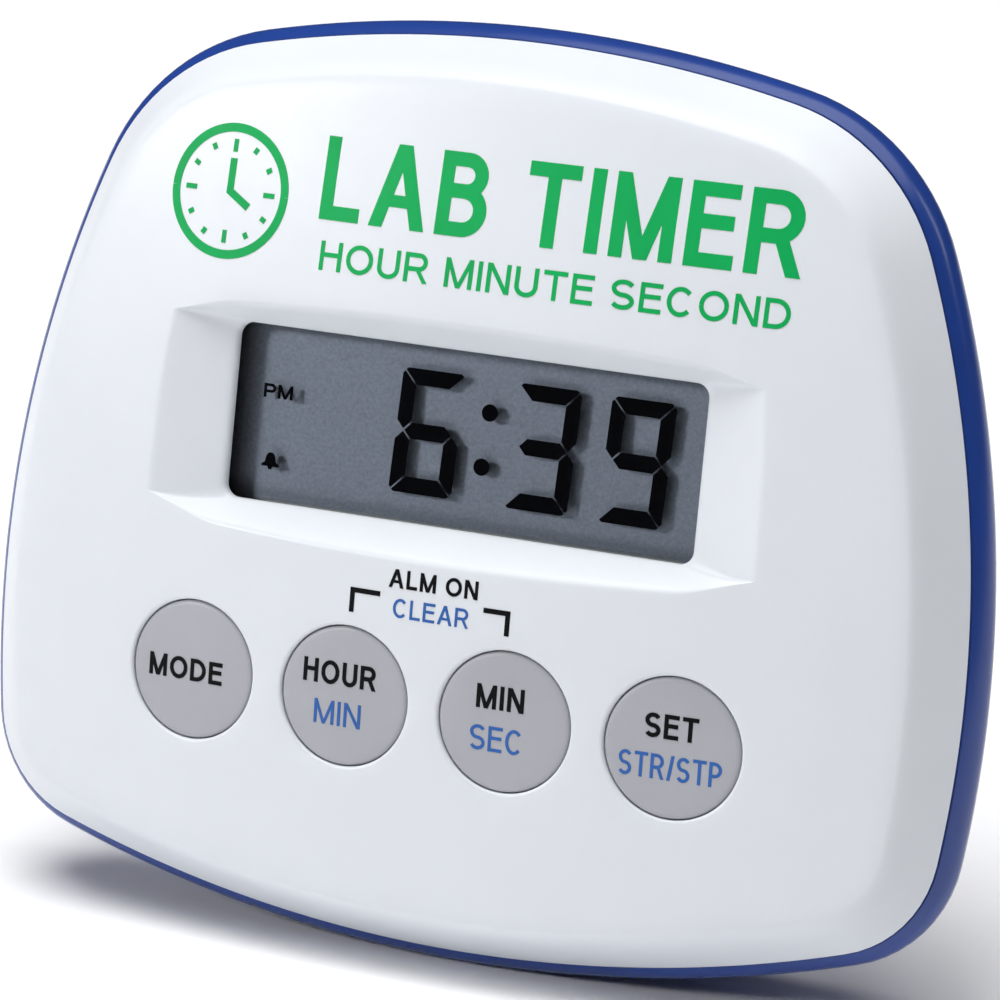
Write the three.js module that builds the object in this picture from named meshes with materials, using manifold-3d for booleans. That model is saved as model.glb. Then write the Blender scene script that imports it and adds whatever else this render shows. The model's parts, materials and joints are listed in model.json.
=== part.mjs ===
// A desk-top countdown timer: white front shell, blue rear cover with a bead rim, a recessed
// liquid-crystal display, four push buttons, a coin cell, magnets and a fold-out stand.
//
// Millimetres. Every piece is drawn in the face frame: +X to the user's right, +Y from the face
// back into the case, +Z up along the face, with the origin on the crown of the face in the middle
// of the button row. The whole timer is then leaned back and set down on its rim and its stand.

import * as THREE from "three";
import { mergeVertices } from "three/addons/utils/BufferGeometryUtils.js";
import Module from "manifold-3d";

const wasm = await Module();
wasm.setup();

// ---------------------------------------------------------------- driving dimensions

const LEAN = THREE.MathUtils.degToRad(13);

// Rim outline, clockwise from the top centre: arcs tangent to each other, each up to an angle
// measured from straight up. The last arc closes the outline at the bottom centre.
const RIM_TOP = 47.2;
const RIM_ARCS = [
  { radius: 98, end: 12.2, steps: 3 },
  { radius: 16.2, end: 68.6, steps: 8 },
  { radius: 83, end: 97.6, steps: 6 },
  { radius: 9.5, end: 162.6, steps: 7 },
];
const BOTTOM_STEPS = 4;

// Face crown: a pillow with its highest point above the button row.
const CROWN_ACROSS = 215;
const CROWN_UP = 205;
const CROWN_PEAK = 14;

const PARTING = 6.2; // depth where the white shell meets the blue cover
const LIP_FRONT = 5.0; // depth where the cover's locating lip ends, inside the shell
const SHELL_EDGE = -0.95; // white shell edge, inside the rim outline
const CREASE = -3.6; // crease between crown and side band, inside the rim outline
const CREASE_DROP = 0.32; // how far the crease lies below the crown
const WALL = 1.8;
const DEEPEST_LINING = 4.2; // the shell's inner face goes no deeper, to clear the cover's lip
const RIM_DEPTH = 8.1; // depth of the widest line of the rim
const BACK = 15.6; // depth of the flat back
const BACK_WALL = 1.5;
const JOINT = PARTING + 0.15; // front edge of the blue cover
const GAP = 0.2;

// Sections of the rear cover, as [offset from the rim outline, depth].
const COVER_INSIDE = [
  [-6.4, BACK - BACK_WALL],
  [-5.2, 13.3],
  [-4.0, 11],
  [-4.0, LIP_FRONT],
  [-3.05, LIP_FRONT],
  [-2.05, JOINT],
];
const COVER_OUTSIDE = [
  [SHELL_EDGE, JOINT],
  [-0.25, 7.2],
  [0, RIM_DEPTH],
  [-0.25, 9.0],
  [-0.95, 9.8],
  [-3.3, 14.2],
  [-4.1, 15.2],
  [-5.3, BACK],
];

// Display
const WINDOW = { x: 17.95, z: 6.22, middle: 18.52, corner: 1.0, depth: 2.37 };
const BEVEL_SIDE = 3.27; // outward spread of the window's side bevel per mm of depth
const BEVEL_UPRIGHT = 0.74; // the same above and below the window
const LIP_BACK = 2.85;
const GASKET = { x: 19.9, z: 8.2, front: 2.93, back: 3.07 };
const GLASS = { x: 20, z: 8.5, front: 3.15, thick: 0.42, cell: 0.12, ledge: 2.2 };
const REFLECTOR = { front: 4.33, back: 4.5 };
const HOLDER = { x: 21.2, z: 9.35, front: 3.15, floor: 4.65, back: 7.25 };
const LIGHTENING = { x: 16, low: 14.5, high: 25.5 }; // hollow in the back of the holder
const ZEBRA = { x: 18.2, low: 10.4, high: 11.8 };

// Circuit board and keys
const BOARD = { x: 24.6, low: -6.0, high: 32.2, front: 7.4, back: 8.4 };
const BUTTON_NAMES = ["mode", "hour", "minute", "set"];
const BUTTON_PITCH = 12.34;
const BUTTON_RADIUS = 5.0;
const BUTTON_HOLE = 5.25;
const BUTTON_SINK = 0.12; // how far the cap lies below the crown
const FLANGE = { radius: 5.8, front: 3.6, back: 4.3 };
const BOSS = { radius: 3.0, front: 4.4, back: 6.0 };
const PILL = { radius: 1.5, front: 6.05, back: 6.45 };
const MAT = { x: 24.3, z: 5.6, front: 6.6, back: 7.25, hole: 3.9 };

// Fasteners
const CASE_SCREWS = [
  { name: "top_right", x: 22.3, z: 35.1 },
  { name: "top_left", x: -22.3, z: 35.1 },
  { name: "bottom_right", x: 27.6, z: -6.2 },
  { name: "bottom_left", x: -27.6, z: -6.2 },
];
const CASE_BOSS = { radius: 2.6, back: 9.4, pilot: 1.15 };
const PILOT_FRONT = 4.2; // depth at which a screw's pilot hole ends inside its boss
const CASE_TUBE = { radius: 3.2, front: 9.6, seat: 10.9, bore: 2.4, hole: 1.25 };
const BOARD_SCREWS = [
  { name: "top_right", x: 22.9, z: 30.0 },
  { name: "top_left", x: -22.9, z: 30.0 },
  { name: "bottom_right", x: 22.9, z: 8.0 },
  { name: "bottom_left", x: -22.9, z: 8.0 },
];
const BOARD_POST = { radius: 1.5, back: 7.3, pilot: 0.8 };
const SCREW_TIP = 4.5;

// Parts on the rear of the board
const PART_SEAT = BOARD.back + 0.1;
const BLOB = { x: -9, z: 15, radius: 4.4, height: 1.2 };
const CRYSTAL = { x: 9, z: 15, radius: 1, length: 6 };
const CAPACITOR = { x: 1, low: 17, high: 18.3, height: 0.9 };
const RESISTOR = { x: 1, low: 13, high: 14.2, height: 0.5 };

// Battery and its door
const CELL = { x: 0, z: 29, radius: 5.8, front: 8.9, back: 14.3 };
const TUBE = { radius: 9.8, front: 9.2, bore: 6.1 };
const POCKET = { radius: 8.7, front: 12.3, back: 13.4 };
const LEDGE = { radius: 7.2, back: 14.4 };
const CONTACT = { edge: 6.0, reach: 8.5, half: 1.2, thick: 0.25, top: 12 };
const DOOR = { radius: 8.5, seat: 8.8, front: 14.6, back: 15.5 };
const DOOR_SKIRT = { inner: 6.35, outer: 6.9, front: 12.5 };
const DOOR_TAB = { radius: 8.3, back: 13.2, width: 4.2 };
const COIN_SLOT = { x: 5.5, z: 0.8, deep: 0.45 };
const DOOR_TURN = THREE.MathUtils.degToRad(45);

// Magnets
const MAGNET = { x: 20, z: 27, radius: 4.5, front: 13.4, back: 15.75 };

// Sounder
const PIEZO = { x: 0, z: 3, radius: 9, front: 10.9, back: 11.2 };
const SOUND_HOLE = 0.7;
const SOUND_RING = 3.2;

// Stand: drawn folded, its length along +Z from the hinge and its outer face towards +Y
const HINGE = { y: 14.2, z: -9.5 };
const STAND = { x: 15.2, length: 24, inner: -0.9, outer: 1.1, barrel: 1.3, corner: 3 };
const STAND_FOOT = 2.4; // length of the flat that rests on the table
const PIN = { radius: 0.8, x: 16.6, bore: 0.92 };
const PANEL = { x: 11, z: 7, corner: 1.5, deep: 0.4, at: 12 }; // sunk panel on the stand
const RECESS = { x: 15.7, low: -11.3, high: 15.0, floor: 12.7, skin: 1.3 };
const THUMB = { radius: 3.2, z: 14 }; // finger notch at the top of the recess

const ROUND = 24; // sides of a small round piece

// ---------------------------------------------------------------- materials

function finish(color, roughness, metalness = 0, opacity = 1) {
  return new THREE.MeshStandardMaterial({
    color,
    roughness,
    metalness,
    opacity,
    transparent: opacity < 1,
  });
}

const WHITE_PLASTIC = finish(0xedf0f4, 0.42);
const BLUE_PLASTIC = finish(0x27408f, 0.24);
const GREY_CAP = finish(0xb4b5be, 0.5);
const SILICONE = finish(0xc9c7bd, 0.7);
const CARBON = finish(0x1a1a1c, 0.8);
const GLASS_CLEAR = finish(0xbcc6c2, 0.08, 0, 0.35);
const REFLECTOR_GREY = finish(0x85898a, 0.45);
const BLACK_FOAM = finish(0x111214, 0.9);
const HOLDER_WHITE = finish(0xdedfdc, 0.5);
const ZEBRA_PINK = finish(0xc98a8c, 0.7);
const BOARD_GREEN = finish(0x1f6b3a, 0.4);
const EPOXY_BLACK = finish(0x0d0d0e, 0.3);
const STEEL = finish(0xb9bcc0, 0.28, 1);
const BRASS = finish(0xc8a24c, 0.3, 1);
const CERAMIC = finish(0xe5e3da, 0.5);
const CHIP_TAN = finish(0xa8895c, 0.6);
const WIRE_RED = finish(0xb3201c, 0.5);
const WIRE_BLACK = finish(0x161617, 0.5);
const NICKEL = finish(0xc6c8ca, 0.22, 1);

// ---------------------------------------------------------------- solids

function solid(geometry) {
  const source = geometry.index ? geometry.toNonIndexed() : geometry;
  const bare = new THREE.BufferGeometry();
  bare.setAttribute("position", source.getAttribute("position").clone());
  const merged = mergeVertices(bare, 1e-4);
  return new wasm.Manifold(
    new wasm.Mesh({
      numProp: 3,
      vertProperties: new Float32Array(merged.getAttribute("position").array),
      triVerts: new Uint32Array(merged.index.array),
    }),
  );
}

function geometryOf(manifold) {
  const mesh = manifold.getMesh();
  const geometry = new THREE.BufferGeometry();
  geometry.setAttribute("position", new THREE.BufferAttribute(mesh.vertProperties, 3));
  geometry.setIndex(new THREE.BufferAttribute(mesh.triVerts, 1));
  geometry.computeVertexNormals();
  return geometry;
}

const join = (...pieces) => pieces.reduce((all, piece) => all.add(piece));
const cut = (body, ...tools) => tools.reduce((left, tool) => left.subtract(tool), body);

// A closed skin over rings of points, which run clockwise as seen from ahead of the first one.
// The first and last ring are single points.
function loft(rings) {
  const points = rings.flat();
  const count = rings[1].length;
  const index = [];
  for (let ring = 1; ring + 1 < rings.length; ring += 1) {
    const start = 1 + (ring - 1) * count;
    for (let side = 0; side < count; side += 1) {
      const next = (side + 1) % count;
      if (ring === 1) index.push(0, start + next, start + side);
      if (ring + 2 < rings.length) {
        index.push(start + side, start + next, start + count + side);
        index.push(start + next, start + count + next, start + count + side);
      } else {
        index.push(start + side, start + next, points.length - 1);
      }
    }
  }
  const geometry = new THREE.BufferGeometry().setFromPoints(points);
  geometry.setIndex(index);
  return solid(geometry);
}

function block(x0, x1, y0, y1, z0, z1) {
  const box = new THREE.BoxGeometry(x1 - x0, y1 - y0, z1 - z0);
  return solid(box.translate((x0 + x1) / 2, (y0 + y1) / 2, (z0 + z1) / 2));
}

// A round bar along Y.
function bar(radius, y0, y1, x, z, sides = ROUND) {
  const cylinder = new THREE.CylinderGeometry(radius, radius, y1 - y0, sides);
  return solid(cylinder.translate(x, (y0 + y1) / 2, z));
}

// A turned piece about a line along Y: the profile holds [radius, y] pairs, with y rising.
function turned(profile, x, z, sides = ROUND) {
  const points = profile.map(([radius, y]) => new THREE.Vector2(radius, y));
  return solid(new THREE.LatheGeometry(points, sides).translate(x, 0, z));
}

function roundedRectangle(halfX, halfZ, corner) {
  const shape = new THREE.Shape();
  shape.moveTo(-halfX + corner, -halfZ);
  shape.lineTo(halfX - corner, -halfZ);
  shape.absarc(halfX - corner, -halfZ + corner, corner, -Math.PI / 2, 0);
  shape.lineTo(halfX, halfZ - corner);
  shape.absarc(halfX - corner, halfZ - corner, corner, 0, Math.PI / 2);
  shape.lineTo(-halfX + corner, halfZ);
  shape.absarc(-halfX + corner, halfZ - corner, corner, Math.PI / 2, Math.PI);
  shape.lineTo(-halfX, -halfZ + corner);
  shape.absarc(-halfX + corner, -halfZ + corner, corner, Math.PI, Math.PI * 1.5);
  return shape;
}

// A flat plate from depth y0 to y1, its outline drawn in X and Z about (x, z).
function plate(shape, y0, y1, x = 0, z = 0) {
  const slab = new THREE.ExtrudeGeometry(shape, {
    depth: y1 - y0,
    bevelEnabled: false,
    curveSegments: 5,
  });
  return solid(slab.rotateX(Math.PI / 2).translate(x, y1, z));
}

// ---------------------------------------------------------------- outline and crown

function crown(x, z) {
  const across = (x * x) / (2 * CROWN_ACROSS);
  const up = ((z - CROWN_PEAK) ** 2 - CROWN_PEAK ** 2) / (2 * CROWN_UP);
  return across + up;
}

function rimSamples() {
  const rad = THREE.MathUtils.degToRad;
  const arcs = RIM_ARCS.map((arc) => ({ ...arc, end: rad(arc.end) }));
  let reach = 0;
  let from = 0;
  for (const arc of arcs) {
    reach += arc.radius * (Math.sin(arc.end) - Math.sin(from));
    from = arc.end;
  }
  arcs.push({ radius: reach / Math.sin(from), end: Math.PI, steps: BOTTOM_STEPS });
  const half = [{ x: 0, z: RIM_TOP, nx: 0, nz: 1 }];
  from = 0;
  for (const arc of arcs) {
    const start = half.at(-1);
    const centreX = start.x - arc.radius * Math.sin(from);
    const centreZ = start.z - arc.radius * Math.cos(from);
    for (let step = 1; step <= arc.steps; step += 1) {
      const angle = from + ((arc.end - from) * step) / arc.steps;
      const nx = Math.sin(angle);
      const nz = Math.cos(angle);
      half.push({ x: centreX + arc.radius * nx, z: centreZ + arc.radius * nz, nx, nz });
    }
    from = arc.end;
  }
  half.at(-1).x = 0;
  half.at(-1).nx = 0;
  const mirrored = half.slice(1, -1).reverse();
  return [...half, ...mirrored.map((p) => ({ x: -p.x, z: p.z, nx: -p.nx, nz: p.nz }))];
}

const RIM = rimSamples();
const MIDDLE = new THREE.Vector2(0, CROWN_PEAK);

const depthAt = (depth, x, z) => (typeof depth === "function" ? depth(x, z) : depth);

// The rim outline moved outwards by offset, then drawn in towards the middle by share.
function outlineRing(offset, depth, share = 1) {
  return RIM.map((p) => {
    const x = MIDDLE.x + share * (p.x + offset * p.nx - MIDDLE.x);
    const z = MIDDLE.y + share * (p.z + offset * p.nz - MIDDLE.y);
    return new THREE.Vector3(x, depthAt(depth, x, z), z);
  });
}

function middlePoint(depth) {
  return [new THREE.Vector3(MIDDLE.x, depthAt(depth, MIDDLE.x, MIDDLE.y), MIDDLE.y)];
}

// ---------------------------------------------------------------- case halves

function windowRing(grow, depth) {
  const out = WINDOW.depth - depth;
  const corner = WINDOW.corner + grow * out;
  const halfX = WINDOW.x + BEVEL_SIDE * out;
  const halfZ = WINDOW.z + BEVEL_UPRIGHT * out;
  const shape = roundedRectangle(halfX, halfZ, Math.min(corner, halfZ - 0.5));
  const clockwise = shape.getPoints(5).reverse();
  return clockwise.map((p) => new THREE.Vector3(p.x, depth, p.y + WINDOW.middle));
}

function displayBevel() {
  const cornerGrowth = -0.2;
  const ahead = -1.5;
  const point = (depth) => [new THREE.Vector3(0, depth, WINDOW.middle)];
  const near = windowRing(cornerGrowth, ahead);
  const far = windowRing(cornerGrowth, WINDOW.depth);
  return loft([point(ahead), near, far, point(WINDOW.depth)]);
}

function buttonPlaces() {
  return BUTTON_NAMES.map((name, i) => ({
    name,
    x: (i - (BUTTON_NAMES.length - 1) / 2) * BUTTON_PITCH,
  }));
}

function frontShell() {
  const inner = (x, z) => Math.min(crown(x, z) + WALL, DEEPEST_LINING);
  const eased = (x, z) => crown(x, z) + CREASE_DROP;
  const skin = loft([
    middlePoint(crown),
    outlineRing(CREASE - 1, crown, 0.3),
    outlineRing(CREASE - 1, crown, 0.6),
    outlineRing(CREASE - 1, crown, 0.85),
    outlineRing(CREASE - 1, crown),
    outlineRing(CREASE, eased),
    outlineRing(SHELL_EDGE, PARTING),
    outlineRing(SHELL_EDGE - 0.9, PARTING),
    outlineRing(SHELL_EDGE - 1.9, LIP_FRONT - 0.15),
    outlineRing(CREASE - 1.4, (x, z) => inner(x, z) + 0.2),
    outlineRing(CREASE - 2.4, inner),
    outlineRing(CREASE - 2.4, inner, 0.6),
    middlePoint(inner),
  ]);
  const padX = GLASS.x + 1.8;
  const padZ = GLASS.z + 0.9;
  const pad = block(-padX, padX, 1.25, LIP_BACK, WINDOW.middle - padZ, WINDOW.middle + padZ);
  const rooted = (p) => crown(p.x, p.z) + 1.2;
  const bosses = CASE_SCREWS.map((p) => bar(CASE_BOSS.radius, rooted(p), CASE_BOSS.back, p.x, p.z));
  const post = (p) => bar(BOARD_POST.radius, rooted(p), BOARD_POST.back, p.x, p.z, 16);
  const posts = BOARD_SCREWS.map(post);
  const opening = plate(roundedRectangle(WINDOW.x, WINDOW.z, WINDOW.corner), 1, 4, 0, WINDOW.middle);
  const holes = buttonPlaces().map((p) => bar(BUTTON_HOLE, -3, 8, p.x, 0, 28));
  const casePilots = CASE_SCREWS.map((p) => bar(CASE_BOSS.pilot, PILOT_FRONT, 12, p.x, p.z, 12));
  const boardPilots = BOARD_SCREWS.map((p) => bar(BOARD_POST.pilot, PILOT_FRONT, 9, p.x, p.z, 12));
  return cut(
    join(skin, pad, ...bosses, ...posts),
    displayBevel(),
    opening,
    ...holes,
    ...casePilots,
    ...boardPilots,
  );
}

function doorOpening() {
  const seat = turned(
    [
      [0, TUBE.front - 1],
      [TUBE.bore, TUBE.front - 1],
      [TUBE.bore, POCKET.front],
      [POCKET.radius, POCKET.front],
      [POCKET.radius, POCKET.back],
      [LEDGE.radius, POCKET.back],
      [LEDGE.radius, LEDGE.back],
      [DOOR.seat, LEDGE.back],
      [DOOR.seat, BACK + 1],
      [0, BACK + 1],
    ],
    CELL.x,
    CELL.z,
    32,
  );
  const notchWidth = DOOR_TAB.width + 1;
  const across = block(
    -POCKET.radius + GAP,
    POCKET.radius - GAP,
    POCKET.front + GAP,
    LEDGE.back + GAP,
    -notchWidth / 2,
    notchWidth / 2,
  );
  const degrees = THREE.MathUtils.radToDeg(DOOR_TURN);
  return join(seat, across.rotate([0, degrees, 0]).translate([CELL.x, 0, CELL.z]));
}

function rearCover() {
  const section = [...COVER_INSIDE, ...COVER_OUTSIDE];
  const skin = loft([
    middlePoint(BACK - BACK_WALL),
    ...section.map(([offset, depth]) => outlineRing(offset, depth)),
    middlePoint(BACK),
  ]);
  const root = BACK - 1;
  const tube = bar(TUBE.radius, TUBE.front, root, CELL.x, CELL.z, 32);
  const pads = [-MAGNET.x, MAGNET.x].map((x) => bar(MAGNET.radius + 1.3, 12.2, root, x, MAGNET.z));
  const tubes = CASE_SCREWS.map((p) => bar(CASE_TUBE.radius, CASE_TUBE.front, root, p.x, p.z));
  const side = RECESS.x + RECESS.skin + 0.5;
  const floorBack = RECESS.floor - RECESS.skin;
  const trayTop = THUMB.z + THUMB.radius + RECESS.skin;
  const tray = block(-side, side, floorBack, root, RECESS.low - RECESS.skin, trayTop);
  const recess = block(-RECESS.x, RECESS.x, RECESS.floor, BACK + 1, RECESS.low, RECESS.high);
  const thumb = bar(THUMB.radius, RECESS.floor, BACK + 1, 0, THUMB.z);
  const pinHole = solid(
    new THREE.CylinderGeometry(PIN.radius + 0.1, PIN.radius + 0.1, 2 * PIN.x + 0.6, 16)
      .rotateZ(Math.PI / 2)
      .translate(0, HINGE.y, HINGE.z),
  );
  const magnetSeats = [-MAGNET.x, MAGNET.x].map((x) =>
    bar(MAGNET.radius + GAP, MAGNET.front - GAP, BACK + 1, x, MAGNET.z),
  );
  const headBores = CASE_SCREWS.map((p) => bar(CASE_TUBE.bore, CASE_TUBE.seat, BACK + 1, p.x, p.z));
  const shaftHoles = CASE_SCREWS.map((p) => bar(CASE_TUBE.hole, 9, BACK, p.x, p.z, 12));
  const around = [0, 1, 2, 3, 4, 5].map((i) => (i * Math.PI) / 3);
  const soundPlaces = [[0, 0], ...around.map((a) => [SOUND_RING * Math.cos(a), SOUND_RING * Math.sin(a)])];
  const soundHoles = soundPlaces.map(([x, z]) => bar(SOUND_HOLE, 10, 14, PIEZO.x + x, PIEZO.z + z, 12));
  const slotHalf = CONTACT.half + 0.3;
  const contactSlot = block(
    CONTACT.edge - 0.3,
    CONTACT.edge + 0.9,
    TUBE.front - 0.5,
    POCKET.front + 0.1,
    CELL.z - slotHalf,
    CELL.z + slotHalf,
  );
  return cut(
    join(skin, tube, ...pads, ...tubes, tray),
    recess,
    thumb,
    pinHole,
    doorOpening(),
    contactSlot,
    ...magnetSeats,
    ...headBores,
    ...shaftHoles,
    ...soundHoles,
  );
}

// ---------------------------------------------------------------- display stack

function gasket() {
  const outer = roundedRectangle(GASKET.x, GASKET.z, 1);
  const hole = roundedRectangle(WINDOW.x + 0.3, WINDOW.z + 0.3, WINDOW.corner);
  outer.holes.push(hole);
  return plate(outer, GASKET.front, GASKET.back, 0, WINDOW.middle);
}

const glassSlab = (front, low) =>
  block(-GLASS.x, GLASS.x, front, front + GLASS.thick, low, WINDOW.middle + GLASS.z);

function frontGlass() {
  return glassSlab(GLASS.front, WINDOW.middle - GLASS.z);
}

function rearGlass() {
  const front = GLASS.front + GLASS.thick + GLASS.cell;
  return glassSlab(front, WINDOW.middle - GLASS.z + GLASS.ledge);
}

function reflector() {
  const low = WINDOW.middle - GLASS.z + GLASS.ledge;
  return block(-GLASS.x, GLASS.x, REFLECTOR.front, REFLECTOR.back, low, WINDOW.middle + GLASS.z);
}

function lcdHolder() {
  const low = WINDOW.middle - HOLDER.z;
  const high = WINDOW.middle + HOLDER.z;
  const body = block(-HOLDER.x, HOLDER.x, HOLDER.front, HOLDER.back, low, high);
  const glassX = GLASS.x + GAP;
  const glassZ = GLASS.z + GAP;
  const pocket = block(
    -glassX,
    glassX,
    HOLDER.front - 1,
    HOLDER.floor,
    WINDOW.middle - glassZ,
    WINDOW.middle + glassZ,
  );
  const slot = block(
    -ZEBRA.x - GAP,
    ZEBRA.x + GAP,
    HOLDER.floor - 1,
    HOLDER.back + 1,
    ZEBRA.low - GAP,
    ZEBRA.high + GAP,
  );
  const hollow = block(
    -LIGHTENING.x,
    LIGHTENING.x,
    HOLDER.floor + 0.5,
    HOLDER.back + 1,
    LIGHTENING.low,
    LIGHTENING.high,
  );
  return cut(body, pocket, slot, hollow);
}

function zebra() {
  const front = GLASS.front + GLASS.thick + 0.1;
  return block(-ZEBRA.x, ZEBRA.x, front, BOARD.front - 0.1, ZEBRA.low, ZEBRA.high);
}

// ---------------------------------------------------------------- board and keys

function circuitBoard() {
  const slab = block(-BOARD.x, BOARD.x, BOARD.front, BOARD.back, BOARD.low, BOARD.high);
  const holes = BOARD_SCREWS.map((p) => bar(0.85, 7, 9, p.x, p.z, 12));
  return cut(slab, ...holes);
}

// A drop of potting: each step in has risen by the matching share of its height.
function processorBlob() {
  const dome = [
    [1, 0],
    [0.93, 0.42],
    [0.7, 0.75],
    [0.36, 0.96],
    [0, 1],
  ];
  const rise = dome.map(([out, up]) => [out * BLOB.radius, PART_SEAT + up * BLOB.height]);
  return turned([[0, PART_SEAT], ...rise], BLOB.x, BLOB.z);
}

function crystalCan() {
  const can = new THREE.CylinderGeometry(CRYSTAL.radius, CRYSTAL.radius, CRYSTAL.length, 16);
  const y = PART_SEAT + CRYSTAL.radius + 0.05;
  return solid(can.rotateZ(Math.PI / 2).translate(CRYSTAL.x, y, CRYSTAL.z));
}

const chip = (size) => block(-size.x, size.x, PART_SEAT, PART_SEAT + size.height, size.low, size.high);

function keypadMat() {
  const sheet = block(-MAT.x, MAT.x, MAT.front, MAT.back, -MAT.z, MAT.z);
  return cut(sheet, ...buttonPlaces().map((p) => bar(MAT.hole, 6, 8, p.x, 0)));
}

function circleRing(radius, depth, x0, sides) {
  return Array.from({ length: sides }, (_, i) => {
    const angle = (i / sides) * 2 * Math.PI;
    const x = x0 + radius * Math.sin(angle);
    const z = radius * Math.cos(angle);
    return new THREE.Vector3(x, depthAt(depth, x, z), z);
  });
}

// A cap whose face follows the crown, with a flange that keeps it in the shell.
function buttonCap(x0) {
  const sides = 28;
  const sunk = (by) => (x, z) => crown(x, z) + by;
  const point = (depth) => [new THREE.Vector3(x0, depthAt(depth, x0, 0), 0)];
  return loft([
    point(sunk(BUTTON_SINK)),
    circleRing(BUTTON_RADIUS - 0.3, sunk(BUTTON_SINK), x0, sides),
    circleRing(BUTTON_RADIUS, sunk(BUTTON_SINK + 0.3), x0, sides),
    circleRing(BUTTON_RADIUS, FLANGE.front, x0, sides),
    circleRing(FLANGE.radius, FLANGE.front, x0, sides),
    circleRing(FLANGE.radius, FLANGE.back, x0, sides),
    point(FLANGE.back),
  ]);
}

function keyBoss(x0) {
  const taper = 0.4;
  return turned(
    [
      [0, BOSS.front],
      [BOSS.radius - taper, BOSS.front],
      [BOSS.radius, BOSS.back],
      [0, BOSS.back],
    ],
    x0,
    0,
    16,
  );
}

// ---------------------------------------------------------------- fasteners

function crossHeadScrew(place, head, shaft, tip) {
  const screw = turned(
    [
      [0, tip],
      [shaft.radius * 0.3, tip],
      [shaft.radius, tip + 0.8],
      [shaft.radius, head.front],
      [head.radius, head.front],
      [head.radius, head.front + head.height * 0.5],
      [head.radius * 0.7, head.front + head.height],
      [0, head.front + head.height],
    ],
    place.x,
    place.z,
    12,
  );
  const top = head.front + head.height;
  const arm = head.radius * 0.6;
  const thin = 0.25;
  const deep = top - head.height * 0.5;
  return cut(
    screw,
    block(place.x - arm, place.x + arm, deep, top + 1, place.z - thin, place.z + thin),
    block(place.x - thin, place.x + thin, deep, top + 1, place.z - arm, place.z + arm),
  );
}

const CASE_SCREW_HEAD = { radius: 1.9, front: CASE_TUBE.seat + 0.05, height: 1.3 };
const BOARD_SCREW_HEAD = { radius: 1.5, front: BOARD.back + 0.05, height: 0.9 };

const caseScrew = (place) => crossHeadScrew(place, CASE_SCREW_HEAD, { radius: 1.0 }, SCREW_TIP);
const boardScrew = (place) => crossHeadScrew(place, BOARD_SCREW_HEAD, { radius: 0.7 }, SCREW_TIP);

// ---------------------------------------------------------------- battery and sounder

function batteryCell() {
  const step = 0.6;
  return turned(
    [
      [0, CELL.front],
      [CELL.radius - 1.1, CELL.front],
      [CELL.radius - 0.8, CELL.front + step],
      [CELL.radius, CELL.front + step + 0.3],
      [CELL.radius, CELL.back - 0.2],
      [CELL.radius - 0.2, CELL.back],
      [0, CELL.back],
    ],
    CELL.x,
    CELL.z,
    32,
  );
}

function positiveContact() {
  const { edge, reach: end, half, thick, top } = CONTACT;
  const upright = block(edge, edge + thick, PART_SEAT, top, CELL.z - half, CELL.z + half);
  const foot = block(edge, end, PART_SEAT, PART_SEAT + thick, CELL.z - half, CELL.z + half);
  return join(upright, foot);
}

function negativeContact() {
  const strip = block(-1.5, 1.5, PART_SEAT, PART_SEAT + 0.2, CELL.z - 6.5, CELL.z + 1.5);
  return join(strip, bar(1, PART_SEAT, PART_SEAT + 0.32, 0, CELL.z - 1, 12));
}

function batteryDoor() {
  const lid = turned(
    [
      [0, DOOR.front],
      [DOOR_SKIRT.inner, DOOR.front],
      [DOOR_SKIRT.inner, DOOR_SKIRT.front],
      [DOOR_SKIRT.outer, DOOR_SKIRT.front],
      [DOOR_SKIRT.outer, DOOR.front],
      [DOOR.radius, DOOR.front],
      [DOOR.radius, DOOR.back - 0.2],
      [DOOR.radius - 0.2, DOOR.back],
      [0, DOOR.back],
    ],
    0,
    0,
    32,
  );
  const inside = DOOR_SKIRT.inner + 0.2;
  const half = DOOR_TAB.width / 2;
  const tab = (from, to) => block(from, to, DOOR_SKIRT.front, DOOR_TAB.back, -half, half);
  const round = bar(DOOR_TAB.radius, 12, 14, 0, 0, 32);
  const tabs = join(tab(inside, 9), tab(-9, -inside)).intersect(round);
  const slotFloor = DOOR.back - COIN_SLOT.deep;
  const coinSlot = block(-COIN_SLOT.x, COIN_SLOT.x, slotFloor, DOOR.back + 1, -COIN_SLOT.z, COIN_SLOT.z);
  return cut(join(lid, tabs), coinSlot).translate([CELL.x, 0, CELL.z]);
}

const piezoDisc = () => bar(PIEZO.radius, PIEZO.front, PIEZO.back, PIEZO.x, PIEZO.z, 32);
const piezoCeramic = () => bar(PIEZO.radius - 3, PIEZO.front - 0.3, PIEZO.front - 0.1, PIEZO.x, PIEZO.z);

function wire(points) {
  const section = new THREE.Shape().absarc(0, 0, 0.35, 0, 2 * Math.PI);
  const path = new THREE.CatmullRomCurve3(points.map((p) => new THREE.Vector3(...p)));
  const tube = new THREE.ExtrudeGeometry(section, {
    steps: 8,
    curveSegments: 3,
    bevelEnabled: false,
    extrudePath: path,
  });
  return solid(tube);
}

const WIRE_FLOOR = BOARD.back + 0.5;
const redWire = () => wire([[12, WIRE_FLOOR, 8], [9, 9.6, 7], [5, 9.9, 6], [2, 10.1, 4]]);
const blackWire = () => wire([[-12, WIRE_FLOOR, 8], [-10, 9.6, 7], [-8.6, 9.9, 5], [-7.4, 10.4, 3]]);

// ---------------------------------------------------------------- stand

const SIN = Math.sin(LEAN);
const COS = Math.cos(LEAN);

// Height of a face-frame point above the origin once the timer leans back.
const leanedHeight = (y, z) => z * COS - y * SIN;

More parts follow.
